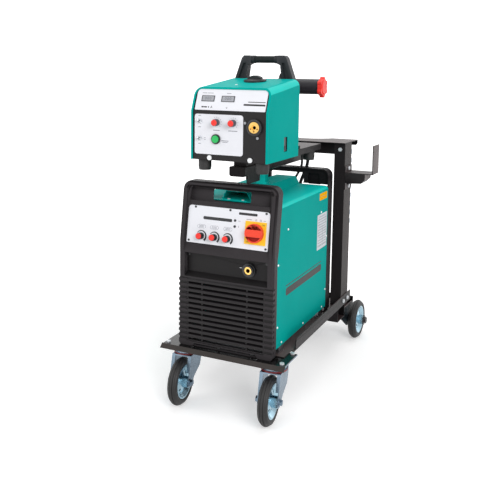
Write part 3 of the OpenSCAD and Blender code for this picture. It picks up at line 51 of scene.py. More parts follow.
# the camera's place is in m from that origin
EYE_X, EYE_Y, EYE_Z = 0.942, -1.8586, 0.8565
YAW, PITCH, ROLL = math.radians(24.9115), math.radians(7.0), math.radians(0.7926)
fwd = Vector((-math.sin(YAW) * math.cos(PITCH), math.cos(YAW) * math.cos(PITCH),
              -math.sin(PITCH)))
right = Vector((math.cos(YAW), math.sin(YAW), 0))
up = right.cross(fwd)
cam_x = right * math.cos(ROLL) + up * math.sin(ROLL)
cam_y = -right * math.sin(ROLL) + up * math.cos(ROLL)
camera = bpy.data.objects.new("camera", bpy.data.cameras.new("camera"))
bpy.context.scene.collection.objects.link(camera)
rot = Matrix((cam_x, cam_y, -fwd)).transposed().to_4x4()
camera.matrix_world = Matrix.Translation(Vector((EYE_X + OX, EYE_Y + OY, EYE_Z + OZ))) @ rot
camera.data.sensor_width = 36
camera.data.lens = 51.027
camera.data.shift_y = -0.1843
camera.data.clip_start = 0.05
bpy.context.scene.camera = camera


# ---------------------------------------------------------------- materials
def srgb(r, g, b):
    """Linear colour of an 8-bit sRGB one."""
    out = []
    for c in (r, g, b):
        c /= 255
        out.append(c / 12.92 if c <= 0.04045 else ((c + 0.055) / 1.055) ** 2.4)
    return (*out, 1)


WEAR_FROM, WEAR_TO = 0.53, 0.62  # pointiness of an edge that starts to rub, and is rubbed bare
GRAIN_DEPTH = 0.0006


def material(name, rgb, rough=0.5, metal=0.0, grain=900.0, bump=0.05, vary=0.08, soft=6.0,
             coat=0.0, wear=None, rough_vary=0.08, stretch=None, spec=0.5):
    """Procedural finish: colour drifts over the piece, with a fine grain in bump and gloss.

    Colours are 8-bit sRGB. The drift has scale soft and size vary, and the grain has scale
    grain. Wear is the colour of rubbed edges, and stretch draws the grain out along an axis.
    """
    m = bpy.data.materials.new(name)
    m.use_nodes = True
    tree = m.node_tree
    nodes, links = tree.nodes, tree.links
    shader = nodes["Principled BSDF"]
    coord = nodes.new("ShaderNodeTexCoord")
    source = coord.outputs["Object"]
    if stretch:
        mapping = nodes.new("ShaderNodeMapping")
        mapping.inputs["Scale"].default_value = stretch
        links.new(source, mapping.inputs["Vector"])
        source = mapping.outputs["Vector"]
    fine = nodes.new("ShaderNodeTexNoise")
    fine.inputs["Scale"].default_value = grain
    fine.inputs["Detail"].default_value = 3
    broad = nodes.new("ShaderNodeTexNoise")
    broad.inputs["Scale"].default_value = soft
    broad.inputs["Detail"].default_value = 4
    links.new(source, fine.inputs["Vector"])
    links.new(coord.outputs["Object"], broad.inputs["Vector"])
    ramp = nodes.new("ShaderNodeValToRGB")
    base = srgb(*rgb)
    dark = [c * (1 - vary) for c in base[:3]] + [1]
    light = [min(1, c * (1 + vary)) for c in base[:3]] + [1]
    ramp.color_ramp.elements[0].position = 0.3
    ramp.color_ramp.elements[0].color = dark
    ramp.color_ramp.elements[1].position = 0.7
    ramp.color_ramp.elements[1].color = light
    links.new(broad.outputs["Fac"], ramp.inputs["Fac"])
    colour = ramp.outputs["Color"]
    if wear:
        geometry = nodes.new("ShaderNodeNewGeometry")
        edge = nodes.new("ShaderNodeMapRange")
        edge.inputs["From Min"].default_value = WEAR_FROM
        edge.inputs["From Max"].default_value = WEAR_TO
        links.new(geometry.outputs["Pointiness"], edge.inputs["Value"])
        mix = nodes.new("ShaderNodeMix")
        mix.data_type = "RGBA"
        links.new(edge.outputs["Result"], mix.inputs["Factor"])
        links.new(colour, mix.inputs["A"])
        mix.inputs["B"].default_value = srgb(*wear)
        colour = mix.outputs["Result"]
    links.new(colour, shader.inputs["Base Color"])
    gloss = nodes.new("ShaderNodeMapRange")
    gloss.inputs["To Min"].default_value = max(0.03, rough - rough_vary)
    gloss.inputs["To Max"].default_value = min(1, rough + rough_vary)
    links.new(fine.outputs["Fac"], gloss.inputs["Value"])
    links.new(gloss.outputs["Result"], shader.inputs["Roughness"])
    shader.inputs["Metallic"].default_value = metal
    if coat:
        shader.inputs["Coat Weight"].default_value = coat
        shader.inputs["Coat Roughness"].default_value = 0.15
    shader.inputs["Specular IOR Level"].default_value = spec
    relief = nodes.new("ShaderNodeBump")
    relief.inputs["Strength"].default_value = bump
    relief.inputs["Distance"].default_value = GRAIN_DEPTH
    links.new(fine.outputs["Fac"], relief.inputs["Height"])
    links.new(relief.outputs["Normal"], shader.inputs["Normal"])
    return m


# teal sheet metal: sides, plus lighter copies for painted light on the feeder top and the source
# roof (there also painted light against the feeder's shadow), and a painted highlight on the bends
ENAMEL = dict(grain=500, bump=0.1, vary=0.05)
TEAL = material("teal_paint", (6, 162, 154), 0.45, spec=0.01, **ENAMEL)
TEAL_PAINTED_TOP_LIGHT = material("teal_painted_top_light", (16, 178, 170), 0.42, spec=0.01, **ENAMEL)
TEAL_PAINTED_ROOF_LIGHT = material("teal_painted_roof_light", (20, 205, 196), 0.42, spec=0.01, **ENAMEL)
PAINTED_BEND_HIGHLIGHT = material("teal_painted_bend_highlight", (22, 200, 189), 0.38, spec=0.05, **ENAMEL)

# dark powder coat of the trolley, with lighter copies for painted light: painted sheen on top
# faces and the columns' right sides, and a painted highlight on the plate's folded lip
COAT = dict(grain=1400, bump=0.3, vary=0.2)
BLACK = material("trolley_paint", (15, 13, 14), 0.4, spec=0.1, wear=(46, 43, 44), **COAT)
PAINTED_LIT_FACES = material("trolley_painted_lit_faces", (58, 48, 48), 0.4, spec=0.1, wear=(96, 86, 85), **COAT)
PAINTED_LIT_SIDE = material("trolley_painted_lit_side", (28, 22, 21), 0.4, spec=0.06, wear=(56, 47, 45), **COAT)
DECK = material("trolley_deck", (17, 16, 16), 0.2, grain=1400, bump=0.15, vary=0.15, spec=0.4)
PAINTED_FOLD_HIGHLIGHT = material("trolley_fold_painted_highlight", (58, 54, 52), 0.36, grain=1400, bump=0.3, vary=0.15, spec=0.15)

# moulded plastics and rubber
MOULDED = dict(grain=1500, bump=0.3, vary=0.1)
PLASTIC = material("frame_plastic", (27, 24, 26), 0.38, spec=0.05, wear=(56, 53, 55), **MOULDED)
# painted shade for the hollows of the front frame
PAINTED_HOLLOW_SHADE = material("frame_hollow_painted_shade", (19, 17, 18), 0.45, spec=0.2, **MOULDED)
GRILLE = material("grille_plastic", (28, 25, 27), 0.42, spec=0.25, **MOULDED)
DARK = material("dark_panel", (22, 20, 21), 0.45, grain=900, bump=0.25, vary=0.1, spec=0.25)
GLOSS = material("black_plastic", (18, 18, 20), 0.36, grain=1200, bump=0.15, vary=0.1)
TUBE = material("hub_plastic", (42, 40, 45), 0.4, grain=1200, bump=0.15, vary=0.1, spec=0.3)
GREY = material("handle_grey", (36, 38, 41), 0.5, grain=1300, bump=0.35, spec=0.2,
                wear=(80, 79, 83))
# dark grip, with a faint painted teal reflection in its colour
GRIP_AND_TEAL_REFLECTION = material("handle_grip_painted_teal_reflection", (16, 22, 23), 0.55, grain=1500, bump=0.5, vary=0.1, spec=0.2)
TYRE = material("tyre_rubber", (22, 21, 22), 0.55, grain=700, bump=0.35, vary=0.18, soft=14)
RUBBER = material("foot_rubber", (15, 14, 15), 0.6, bump=0.3, vary=0.12)
CABLE = material("cable_rubber", (18, 18, 20), 0.55, grain=1200, bump=0.3, vary=0.12)
SEAL = material("seal_red", (120, 26, 30), bump=0.1)

# controls, panels and print
WHITE = material("white_panel", (230, 231, 237), 0.42, grain=700, bump=0.04, vary=0.015, spec=0.3)
YELLOW = material("yellow_plate", (252, 200, 48), 0.45, vary=0.03, spec=0.3)
PAPER = material("pale_label", (206, 210, 216), grain=800, vary=0.03, spec=0.3)
LABEL = material("label_amber", (250, 178, 12), 0.6, vary=0.03, spec=0.02)
PRINT = material("print_black", (26, 26, 30), bump=0.03)
PRINT_GREY = material("print_grey", (128, 130, 140), bump=0.03)
CAP = dict(bump=0.08, vary=0.05)
RED = material("red_cap", (240, 58, 50), 0.42, spec=0.35, **CAP)
ORANGE = material("switch_red", (236, 70, 46), 0.4, spec=0.35, **CAP)
# painted shade for the main switch's hollow below its bar
PAINTED_SWITCH_SHADE = material("switch_hollow_painted_shade", (150, 24, 16), 0.5, spec=0.2, **CAP)
GREEN = material("green_button", (14, 184, 88), 0.32, grain=700, bump=0.04, coat=0.3)
SKIRT = material("knob_skirt", (78, 78, 86), 0.4, 0.1, bump=0.08, vary=0.06)
GLASS = material("display_glass", (158, 160, 166), 0.2, grain=200, bump=0.01, vary=0.1, coat=0.4)
FRAME = material("display_frame", (52, 52, 58), 0.4, bump=0.1, vary=0.1)
DIGIT = material("display_digit", (92, 94, 102), grain=300, bump=0.01)

# metals
PLATED = dict(grain=120, soft=30, rough_vary=0.1)
ZINC = material("zinc", (142, 156, 170), 0.26, 1.0, vary=0.16, **PLATED)
FORK = material("fork_zinc", (120, 137, 152), 0.28, 1.0, vary=0.16, **PLATED)
RIM = material("rim_zinc", (160, 190, 204), 0.24, 1.0, vary=0.2, **PLATED)
BOLT = material("bolt_zinc", (212, 216, 220), 0.38, 0.4, grain=400, vary=0.06)
SCREW = material("screw_white", (228, 230, 232), 0.3, 0.35, grain=400, vary=0.06)
CHROME = material("chrome", (214, 216, 220), 0.22, 0.7, grain=300, vary=0.06)
BRASS = material("brass", (242, 196, 112), 0.3, 0.95, grain=700, vary=0.1)
# painted shade deep in the sockets' bores
PAINTED_BORE_SHADE = material("brass_bore_painted_shade", (70, 44, 18), 0.5, 0.6, grain=700)
# painted highlight for the lit arc of the torch socket's ring
PAINTED_RING_HIGHLIGHT = material("socket_ring_painted_highlight", (70, 70, 76), 0.35, 0.5)
STEEL = material("steel", (150, 152, 156), 0.35, 1.0, grain=300, bump=0.08, vary=0.1)
ALLOY = material("aluminium", (190, 192, 196), 0.32, 1.0, grain=400, bump=0.08, vary=0.06)
WINDING = material("winding", (120, 66, 34), 0.45, grain=300, bump=0.6, vary=0.2,
                   stretch=(1, 1, 3))
CORE = material("core_steel", (86, 86, 92), 0.5, 0.8, grain=200, bump=0.4, vary=0.1,
                stretch=(1, 8, 1))


# ---------------------------------------------------------------- helpers
def C(x, y, z):
    """Point in the part's frame, in m, of one given in mm in the construction frame."""
    return Vector((x / 1000 + OX, y / 1000 + OY, z / 1000 + OZ))


def mm(p):
    """Construction frame's mm of a point in the part's frame."""
    return (p.x - OX) * 1000, (p.y - OY) * 1000, (p.z - OZ) * 1000


def off_axis(c, x, z):
    """Distance of a point from an axis that runs along Y."""
    return math.hypot(c[0] - x, c[2] - z)


def face(origin, x_axis, y_axis):
    """Matrix of a flat frame: its Z is the outward normal."""
    x, y = Vector(x_axis).normalized(), Vector(y_axis).normalized()
    return Matrix.Translation(origin) @ Matrix((x, y, x.cross(y))).transposed().to_4x4()


class Slant:
    """Plane that leans back from a foot line along X."""

    def __init__(self, foot_y, foot_z, run, rise):
        self.y, self.z, self.angle = foot_y, foot_z, math.atan(run / rise)

    def face(self, x, s, out):
        """Flat frame at x, s up the plane and out in front of it."""
        sin, cos = math.sin(self.angle), math.cos(self.angle)
        return face(C(x, self.y - out * cos + s * sin, self.z + out * sin + s * cos),
                    (1, 0, 0), (0, sin, cos))

    def out(self, c):
        """How far a point stands out in front of the plane."""
        return ((self.y - c[1]) * math.cos(self.angle)
                + (c[2] - self.z) * math.sin(self.angle))


LEAN = Slant(7.2, 325, 30, 193)  # upper front of the source
SLOPE = Slant(18, 735, 29, 72)  # upper front of the feeder


def front_face(x, y, z):
    """Flat frame that looks out to the front."""
    return face(C(x, y, z), (1, 0, 0), (0, 0, 1))


def side_face(x, y, z):
    """Flat frame that looks out to the right side."""
    return face(C(x, y, z), (0, 1, 0), (0, 0, 1))


def add(name, mesh, mats, smooth=None):
    """Link a mesh as a piece that rides on the trolley, smooth up to an angle in degrees."""
    obj = bpy.data.objects.new(name, mesh)
    bpy.context.scene.collection.objects.link(obj)
    for m in mats if isinstance(mats, (list, tuple)) else [mats]:
        mesh.materials.append(m)
    if smooth is not None:
        mesh.shade_smooth()
        mesh.set_sharp_from_angle(angle=math.radians(smooth))
    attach(obj, "trolley")
    return obj


def plate(bm, outline, at, thick, bevel=0.0):
    """Raise an outline, in mm in a flat frame, by a thickness in mm."""
    low = [bm.verts.new(at @ Vector((x / 1000, y / 1000, 0))) for x, y in outline]
    high = [bm.verts.new(at @ Vector((x / 1000, y / 1000, thick / 1000))) for x, y in outline]
    n = len(outline)
    top = bm.faces.new(high)
    for i in range(n):
        bm.faces.new((low[i], low[(i + 1) % n], high[(i + 1) % n], high[i]))
    if bevel:
        bmesh.ops.bevel(bm, geom=list(top.edges), offset=bevel / 1000, segments=2,
                        affect="EDGES", profile=0.6)


def rounded(w, h, r, steps=6):
    """Outline of a rounded rectangle about the origin."""
    pts = []
    for cx, cy, a0 in ((w / 2 - r, h / 2 - r, 0), (r - w / 2, h / 2 - r, 90),
                       (r - w / 2, r - h / 2, 180), (w / 2 - r, r - h / 2, 270)):
        for k in range(steps + 1):
            a = math.radians(a0 + 90 * k / steps)
            pts.append((cx + r * math.cos(a), cy + r * math.sin(a)))
    return pts


def disc(d):
    """Outline of a disc, nearly round."""
    return rounded(d, d, d / 2 - 0.01)


def ring_strip(bm, outer, inner, at, thick):
    """Flat band between two outlines of the same count."""
    n = len(outer)
    z = thick / 1000
    rim = [bm.verts.new(at @ Vector((x / 1000, y / 1000, z))) for x, y in outer]
    hole = [bm.verts.new(at @ Vector((x / 1000, y / 1000, z))) for x, y in inner]
    foot = [bm.verts.new(at @ Vector((x / 1000, y / 1000, 0))) for x, y in outer]
    for i in range(n):
        j = (i + 1) % n
        bm.faces.new((rim[i], rim[j], hole[j], hole[i]))
        bm.faces.new((foot[i], foot[j], rim[j], rim[i]))


def arc_band(bm, r0, r1, a0, a1, at, thick, steps=20, taper=0.0):
    """Band along an arc, angles in degrees from +X; the taper thins its start."""
    top = []
    for k in range(steps + 1):
        t = k / steps
        a = math.radians(a0 + (a1 - a0) * t)
        half = (r1 - r0) / 2 * (1 - taper * (1 - t))
        mid = (r0 + r1) / 2
        top.append([bm.verts.new(at @ Vector((r * math.cos(a) / 1000, r * math.sin(a) / 1000,
                                              thick / 1000))) for r in (mid - half, mid + half)])
    for k in range(steps):
        bm.faces.new((top[k][0], top[k][1], top[k + 1][1], top[k + 1][0]))


def finish_mesh(bm, name):
    """Mesh data of a finished bmesh, with its normals outward."""
    bmesh.ops.recalc_face_normals(bm, faces=bm.faces)
    mesh = bpy.data.meshes.new(name)
    bm.to_mesh(mesh)
    bm.free()
    return mesh


def plates(name, mat, items, smooth=None):
    """One piece of several plates: each item is what plate() takes."""
    bm = bmesh.new()
    for item in items:
        plate(bm, *item)
    add(name, finish_mesh(bm, name), mat, smooth)


def marks(name, at, bars, mat, thick=0.08):
    """Flat printed bars: each is (x, y, w, h) in mm in the frame that at(x, y) gives."""
    plates(name, mat, [(rounded(w, h, min(w, h) * 0.3, steps=2), at(x, y), thick)
                       for x, y, w, h in bars])


CAP_HEIGHT = 1.38  # font size over the height of its capitals
TYPE_RAISED = 0.00008


def label(name, text, at, height, mat=PRINT, space=1.0):
    """Generic lettering of a given height in mm, flat on a face."""
    curve = bpy.data.curves.new(name, "FONT")
    curve.body = text
    curve.size = height / 1000 * CAP_HEIGHT
    curve.align_x = "CENTER"
    curve.align_y = "CENTER"
    curve.space_character = space
    curve.extrude = TYPE_RAISED
    curve.resolution_u = 3
    temp = bpy.data.objects.new(name + "_curve", curve)
    bpy.context.scene.collection.objects.link(temp)
    bpy.context.view_layer.update()
    mesh = bpy.data.meshes.new_from_object(
        temp.evaluated_get(bpy.context.evaluated_depsgraph_get()))
    bpy.data.objects.remove(temp)
    mesh.transform(at)
    mesh.materials.clear()
    add(name, mesh, mat)


def paint(node, default, rules=(), bevel=None):
    """Materials of a CAD node, and small rounded edges of a width in mm.

    Each rule is (material, test), and the last one that holds wins. A test takes a face's centre
    c, in mm of the construction frame, and its normal n.
    """
    obj = NODES[node]
    mesh = obj.data
    mesh.materials.clear()
    for m in [default] + [rule[0] for rule in rules]:
        mesh.materials.append(m)
    for p in mesh.polygons:
        p.material_index = 0
        c = mm(p.center)
        for k, (_, test) in enumerate(rules):
            if test(c, p.normal):
                p.material_index = k + 1
    if bevel:
        soften(obj, bevel)


MERGE = 0.00002  # points closer than this, in m, are one
FLAT = math.radians(0.5)  # faces that meet flatter than this are one
CREASE = math.radians(40)  # edges sharper than this are rounded


def soften(obj, width):
    """Small rounded edges of a width in mm, from modifiers only."""
    weld = obj.modifiers.new("weld", "WELD")
    weld.merge_threshold = MERGE
    flat = obj.modifiers.new("flat", "DECIMATE")
    flat.decimate_type = "DISSOLVE"
    flat.angle_limit = FLAT
    flat.delimit = {"MATERIAL"}
    edge = obj.modifiers.new("edge", "BEVEL")
    edge.width = width / 1000
    edge.segments = 2
    edge.limit_method = "ANGLE"
    edge.angle_limit = CREASE
    edge.use_clamp_overlap = True
    obj.data.shade_smooth()
    obj.modifiers.new("shade", "WEIGHTED_NORMAL").keep_sharp = True


# ---------------------------------------------------------------- CAD nodes and finishes
# Axes along Y are given as (x, z), and those along Z as (x, y).
SIDE_X = 159.5  # right side of the source
SOCKET, TORCH, CASTER = (74, 264), (85, 692), (152, 38)
SOCKET_BORE, SOCKET_COLLAR = 6.7, 11.9  # radii
TORCH_BORE, TORCH_COLLAR = 5.2, 16.51
PLATE_X, PLATE_Z, PLATE_HALF_X, PLATE_HALF_Z = 94, 378, 35, 36  # yellow plate of the switch
LAMP_X, LAMP_HALF = 24, 4.2
CAP_OUT = 20.4  # the knobs' red caps stand out this far
AXLE_CAP_X = 214.5


def level(c, n):
    return n.z > 0.8


def upward(c, n):
    return n.z > 0.7


def bend(c, n):
    """The rounded bends of the covers, which get a painted highlight."""
    return 0.3 < abs(n.x) < 0.97 and n.z > 0.2


def seal(c, n):
    """Outer face of the red ring under a caster's plate."""
    from_pin = math.hypot(abs(c[0]) - CASTER[0], c[1] - CASTER[1])
    return c[2] < -29 and abs(n.z) < 0.5 and from_pin > 39


def flush_top(c, n):
    """Bolt tops that lie flush in the plate under the source."""
    return abs(c[0]) < 125 and c[1] < 90 and abs(c[2]) < 1


def socket_bay(c, n):
    """Hollow of the front frame around the output socket, which gets painted shade."""
    return abs(c[0]) < 139.9 and 223 < c[2] < 298 and 1 < c[1] < 22


def grille_side(c, n):
    """Floor of the grooves beside the grille, which gets painted shade."""
    return abs(c[0]) > 132 and c[2] < 220 and 1.5 < c[1] < 2.5 and n.y < -0.9


def switch_plate(c, n):
    return (abs(c[0] - PLATE_X) < PLATE_HALF_X and abs(c[2] - PLATE_Z) < PLATE_HALF_Z
            and 1.9 < LEAN.out(c) < 5.6)


def switch_shade(c, n):
    """Hollow of the main switch, below its bar, which gets painted shade."""
    return 11.5 < LEAN.out(c) < 13.5 and c[2] < 376


def panel_screw(c, n):
    """Screws of the control panel."""
    return abs(c[0]) < 135 and c[1] < 60 and 320 < c[2] < 450


def torch_screw(c, n):
    """Small screw beside the torch socket."""
    return c[1] < 19 and 650 < c[2] < 710


def display_frame(c, n):
    return c[2] > 745 and c[0] < 14 and SLOPE.out(c) > 1.6


def toggle_bush(c, n):
    return c[0] < -88 and c[1] < 16.3 and c[2] < 730


def button_collar(c, n):
    return -60 < c[0] < -25 and c[1] < 16.3 and c[2] < 668


def behind_plate(c, n):
    """What stands behind the feeder's lower plate."""
    return c[1] > 20 and c[2] < 730


def coil(c, n):
    """Ends and middle of the transformer, where its coils show."""
    return abs(c[1] - 210) > 30.5 or 45 < c[2] < 118 and abs(c[0] - 74) < 41


# trolley
# painted highlight on the plate's sloped lip
paint("front_plate", BLACK, [(DECK, lambda c, n: n.z > 0.9),
                             (PAINTED_FOLD_HIGHLIGHT, lambda c, n: 0.5 < n.z < 0.9)], bevel=0.9)
# painted sheen on the top faces
for name in ("side_rails", "crossbar", "feeder_arm", "rear_beam", "cylinder_shelf",
             "spool_bracket"):
    paint(name, BLACK, [(PAINTED_LIT_FACES, upward)], bevel=0.9)
# painted sheen on the columns' right sides
paint("rear_columns", BLACK, [(PAINTED_LIT_SIDE, lambda c, n: n.x > 0.7)], bevel=0.9)
# painted sheen on the hook's top and right faces
paint("hook_bracket", BLACK, [(PAINTED_LIT_FACES, lambda c, n: n.z > 0.6 or n.x > 0.8)], bevel=0.9)
paint("rear_axle", ZINC, [(GLOSS, lambda c, n: abs(c[0]) > AXLE_CAP_X)], bevel=0.6)
paint("hex_bolts", BOLT, [(BLACK, flush_top)], bevel=0.5)
paint("caster_plates", ZINC, [(SEAL, seal)], bevel=0.6)
for side in ("left", "right"):
    paint("caster_fork_" + side, FORK, bevel=0.6)
    for end in ("front", "rear"):
        paint(f"{end}_tyre_{side}", TYRE)
        paint(f"{end}_rim_{side}", RIM)

# source, outside
# painted light on the level top and a painted highlight on the bends
paint("source_cover", TEAL, [(TEAL_PAINTED_ROOF_LIGHT, level), (PAINTED_BEND_HIGHLIGHT, bend)])
# painted light in the bridge's roof colour; plain teal only on its right side
paint("top_bridge", TEAL_PAINTED_ROOF_LIGHT, [(TEAL, lambda c, n: n.x > 0.8)], bevel=1.2)
# painted shade in the socket's hollow and the grooves beside the grille
paint("front_bezel", PLASTIC, [(PAINTED_HOLLOW_SHADE, socket_bay), (PAINTED_HOLLOW_SHADE, grille_side)])
paint("rear_bezel", PLASTIC, bevel=0.8)
paint("control_panel", WHITE, [
    (YELLOW, switch_plate),
    (GLOSS, lambda c, n: LEAN.out(c) < -0.5),
    (FRAME, lambda c, n: abs(c[0] - LAMP_X) < LAMP_HALF and LEAN.out(c) > 2.05)])
for name in ("knob_left", "knob_centre", "knob_right"):
    paint(name, GLOSS, [(RED, lambda c, n: LEAN.out(c) > CAP_OUT)])
# painted shade in the hollow below the switch's bar
paint("main_switch", ORANGE, [(PAINTED_SWITCH_SHADE, switch_shade)], bevel=0.8)
# painted shade deep in the socket's bore
paint("output_socket", BRASS, [
    (GLOSS, lambda c, n: off_axis(c, *SOCKET) > SOCKET_COLLAR and c[1] < 30),
    (PAINTED_BORE_SHADE, lambda c, n: off_axis(c, *SOCKET) < SOCKET_BORE and c[1] > 8)])
paint("panel_screws", SCREW, [(GLOSS, panel_screw), (STEEL, torch_screw)])

# feeder, outside
# painted sheen on the top faces
paint("feeder_base", BLACK, [(PAINTED_LIT_FACES, upward)], bevel=0.6)
# painted light on the level top and a painted highlight on the bends
paint("feeder_cover", TEAL, [(TEAL_PAINTED_TOP_LIGHT, level), (PAINTED_BEND_HIGHLIGHT, bend)])
for name in ("feeder_knob_left", "feeder_knob_right"):
    paint(name, SKIRT, [(RED, lambda c, n: c[1] < -0.2), (GLOSS, lambda c, n: c[1] > 16.2)])
# painted shade deep in the socket's bore
paint("torch_socket", BRASS, [
    (GLOSS, lambda c, n: off_axis(c, *TORCH) > TORCH_COLLAR),
    (PAINTED_BORE_SHADE, lambda c, n: off_axis(c, *TORCH) < TORCH_BORE and c[1] > 15)])
paint("feeder_panels", WHITE, [(FRAME, display_frame), (CHROME, toggle_bush),
                               (GLOSS, button_collar), (GLOSS, behind_plate)])
# the grip's colour holds a faint painted teal reflection
paint("feeder_handle", GREY, [(GRIP_AND_TEAL_REFLECTION, lambda c, n: abs(c[0]) < 34.9 and c[2] > 875)], bevel=1.5)
paint("cover_lock", GLOSS, bevel=0.8)
paint("spool_nut", RED, bevel=1.0)

# inside: the heat sink's modules and board, the coils, the motor and the arm's own metal
paint("heatsink", ALLOY, [(GLOSS, lambda c, n: c[0] < -70 and c[2] < 215),
                          (GREEN, lambda c, n: -84.5 < c[0] < -77.5)])
paint("transformer", CORE, [(WINDING, coil)])
paint("drive_unit", STEEL, [(GLOSS, lambda c, n: c[0] < 60)])
paint("pressure_arm", GLOSS, [(STEEL, lambda c, n: c[0] > 78)])

# of one finish
for finish, names in ((ZINC, ["retaining_chain"]), (GRILLE, ["front_grille"]),
                      (DARK, ["rear_panel", "feeder_front"]), (GLOSS, ["fan_rotor"]),
                      (CHROME, ["toggle_lower", "toggle_upper"]), (GREEN, ["push_button"]),
                      (RUBBER, ["feeder_feet"]), (TUBE, ["spool_hub"]),
                      (STEEL, ["source_chassis", "drive_roll"]),
                      (CABLE, ["weld_cable", "control_cable"])):
    for name in names:
        paint(name, finish)


def in_order(bm):
    """Sort triangles by their corners, so that each run gives them in the same order."""
    bm.verts.index_update()
    n = len(bm.verts)

    def key(f):
        i, j, k = sorted(v.index for v in f.verts)
        return (i * n + j) * n + k

    bm.faces.sort(key=key)


def rounded_copy(node, name, picked, radius, small):
    """Copy of a painted CAD node with the picked edges rounded over; it stands for the node.

    The other edges get the small rounding. Both sizes are in mm.
    """
    src = NODES[node].data
    bm = bmesh.new()
    bm.from_mesh(src)
    bmesh.ops.remove_doubles(bm, verts=bm.verts, dist=MERGE)
    bmesh.ops.dissolve_limit(bm, angle_limit=FLAT, verts=bm.verts, edges=bm.edges,
                             delimit={"MATERIAL"})
    rim = []
    for e in bm.edges:
        if len(e.link_faces) == 2 and e.calc_face_angle() > CREASE:
            if picked(mm((e.verts[0].co + e.verts[1].co) / 2), *(f.normal for f in e.link_faces)):
                rim.append(e)
    bmesh.ops.bevel(bm, geom=rim, offset=radius / 1000, segments=5, profile=0.5, affect="EDGES",
                    clamp_overlap=False)
    bmesh.ops.triangulate(bm, faces=bm.faces)
    in_order(bm)
    obj = add(name, finish_mesh(bm, name), list(src.materials), smooth=26)
    edge = obj.modifiers.new("edge", "BEVEL")
    edge.width = small / 1000
    edge.segments = 2
    edge.limit_method = "ANGLE"
    edge.angle_limit = math.radians(50)  # spares the facets of the large rounding
    obj.modifiers.new("shade", "WEIGHTED_NORMAL").keep_sharp = True
    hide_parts(node)


def rim_edge(mid, a, b):
    """Outer edge of the source's front frame, above the grille, at mid between two normals."""
    outside = abs(mid[0]) > SIDE_X or mid[2] > 490 and mid[1] < 40 and (
        abs(mid[0]) > 134 or mid[2] > 517)
    return mid[2] > 220 and outside and (a.y < -0.8) != (b.y < -0.8)


rounded_copy("front_bezel", "front_frame", rim_edge, radius=8.5, small=0.8)

# ---------------------------------------------------------------- source front
CAPTION_X = (-88, -44, 2)
CAPTION_S = 57


def on_panel(x, s):
    """Just over the white plate."""
    return LEAN.face(x, s, 2.05)


bm = bmesh.new()
for x in CAPTION_X:
    ring_strip(bm, rounded(29, 11, 5.4), rounded(27.4, 9.4, 4.6), on_panel(x, CAPTION_S), 0.05)
add("dial_captions", finish_mesh(bm, "dial_captions"), PRINT_GREY)
marks("caption_lines", on_panel,
      [(x, CAPTION_S + dy, 17, 1.3) for x in CAPTION_X for dy in (1.8, -1.8)], PRINT_GREY)
marks("panel_stripes", on_panel, [(-35, 84, 98, 9.5), (65.5, 108, 61, 7.5)], PRINT, 0.1)
marks("panel_signs", on_panel, [(38, 85, 8, 1.4), (37, 68, 1.4, 6), (70, 93, 18, 1.6),
                                (93, 94.5, 6, 1.2), (93, 91.5, 6, 1.2), (106, 93, 1.4, 7),
                                (110, 93, 1.4, 7), (121, 93, 8, 1.3)], PRINT_GREY)
bm = bmesh.new()
for x in (-87, -42, 3):
    arc_band(bm, 13.0, 19.4, 150, -52, on_panel(x, 27.5), 0.1, taper=0.7)
add("dial_arcs", finish_mesh(bm, "dial_arcs"), PRINT)
label("switch_on", "ON", LEAN.face(119, 80, 5.1), 5)
label("switch_off", "OFF", LEAN.face(70, 27, 5.1), 4)
marks("socket_minus", lambda x, z: front_face(x, 17.95, z), [(45, 267, 7, 1.8)], PAPER)
plates("frame_screws", GLOSS,
       [(disc(9), front_face(x, 18, 289), 2.2, 1.0) for x in (-133, 131)]
       + [(disc(8), front_face(x, 3.9, 7), 2.5, 0.9) for x in (-20, 92)], smooth=40)


# ---------------------------------------------------------------- source side
def on_side(y, z):
    """Just over the source's right side."""
    return side_face(SIDE_X + 0.03, y, z)


def on_label(y, z):
    """Just over a label on that side."""
    return side_face(SIDE_X + 0.2, y, z)


plates("side_plate", PAPER, [(rounded(98, 122, 3), on_side(425, 312), 0.15)])
marks("side_plate_lines", on_label,
      [(425, 364 - 9 * k, 84 if k % 4 else 60, 1.6) for k in range(12)], PRINT_GREY)
marks("side_plate_boxes", on_label, [(392, 330, 1.2, 70), (430, 300, 1.2, 60),
                                     (425, 262, 84, 1.2), (458, 330, 1.2, 60)], PRINT_GREY)
plates("side_label", LABEL, [(rounded(76, 24, 2), on_side(431, 433), 0.15)])
marks("side_label_lines", on_label, [(431, 433, 56, 1.2)], PRINT_GREY)
marks("side_stripe", on_side, [(262, 184, 324, 24)], DARK, 0.12)
marks("side_stripe_line", on_side, [(262, 204, 324, 3)], DARK, 0.12)

# ---------------------------------------------------------------- feeder
DISPLAY_X = (-77, -10)
DISPLAY_S = 39.5
UNIT_OUT = 1.56  # the letters lie a little higher than the bars


def on_display(x, s):
    """Just over the sloped white plate."""
    return SLOPE.face(x, s, 1.55)


def on_front(x, z):
    """Just over the lower white plate."""
    return front_face(x, 16.45, z)


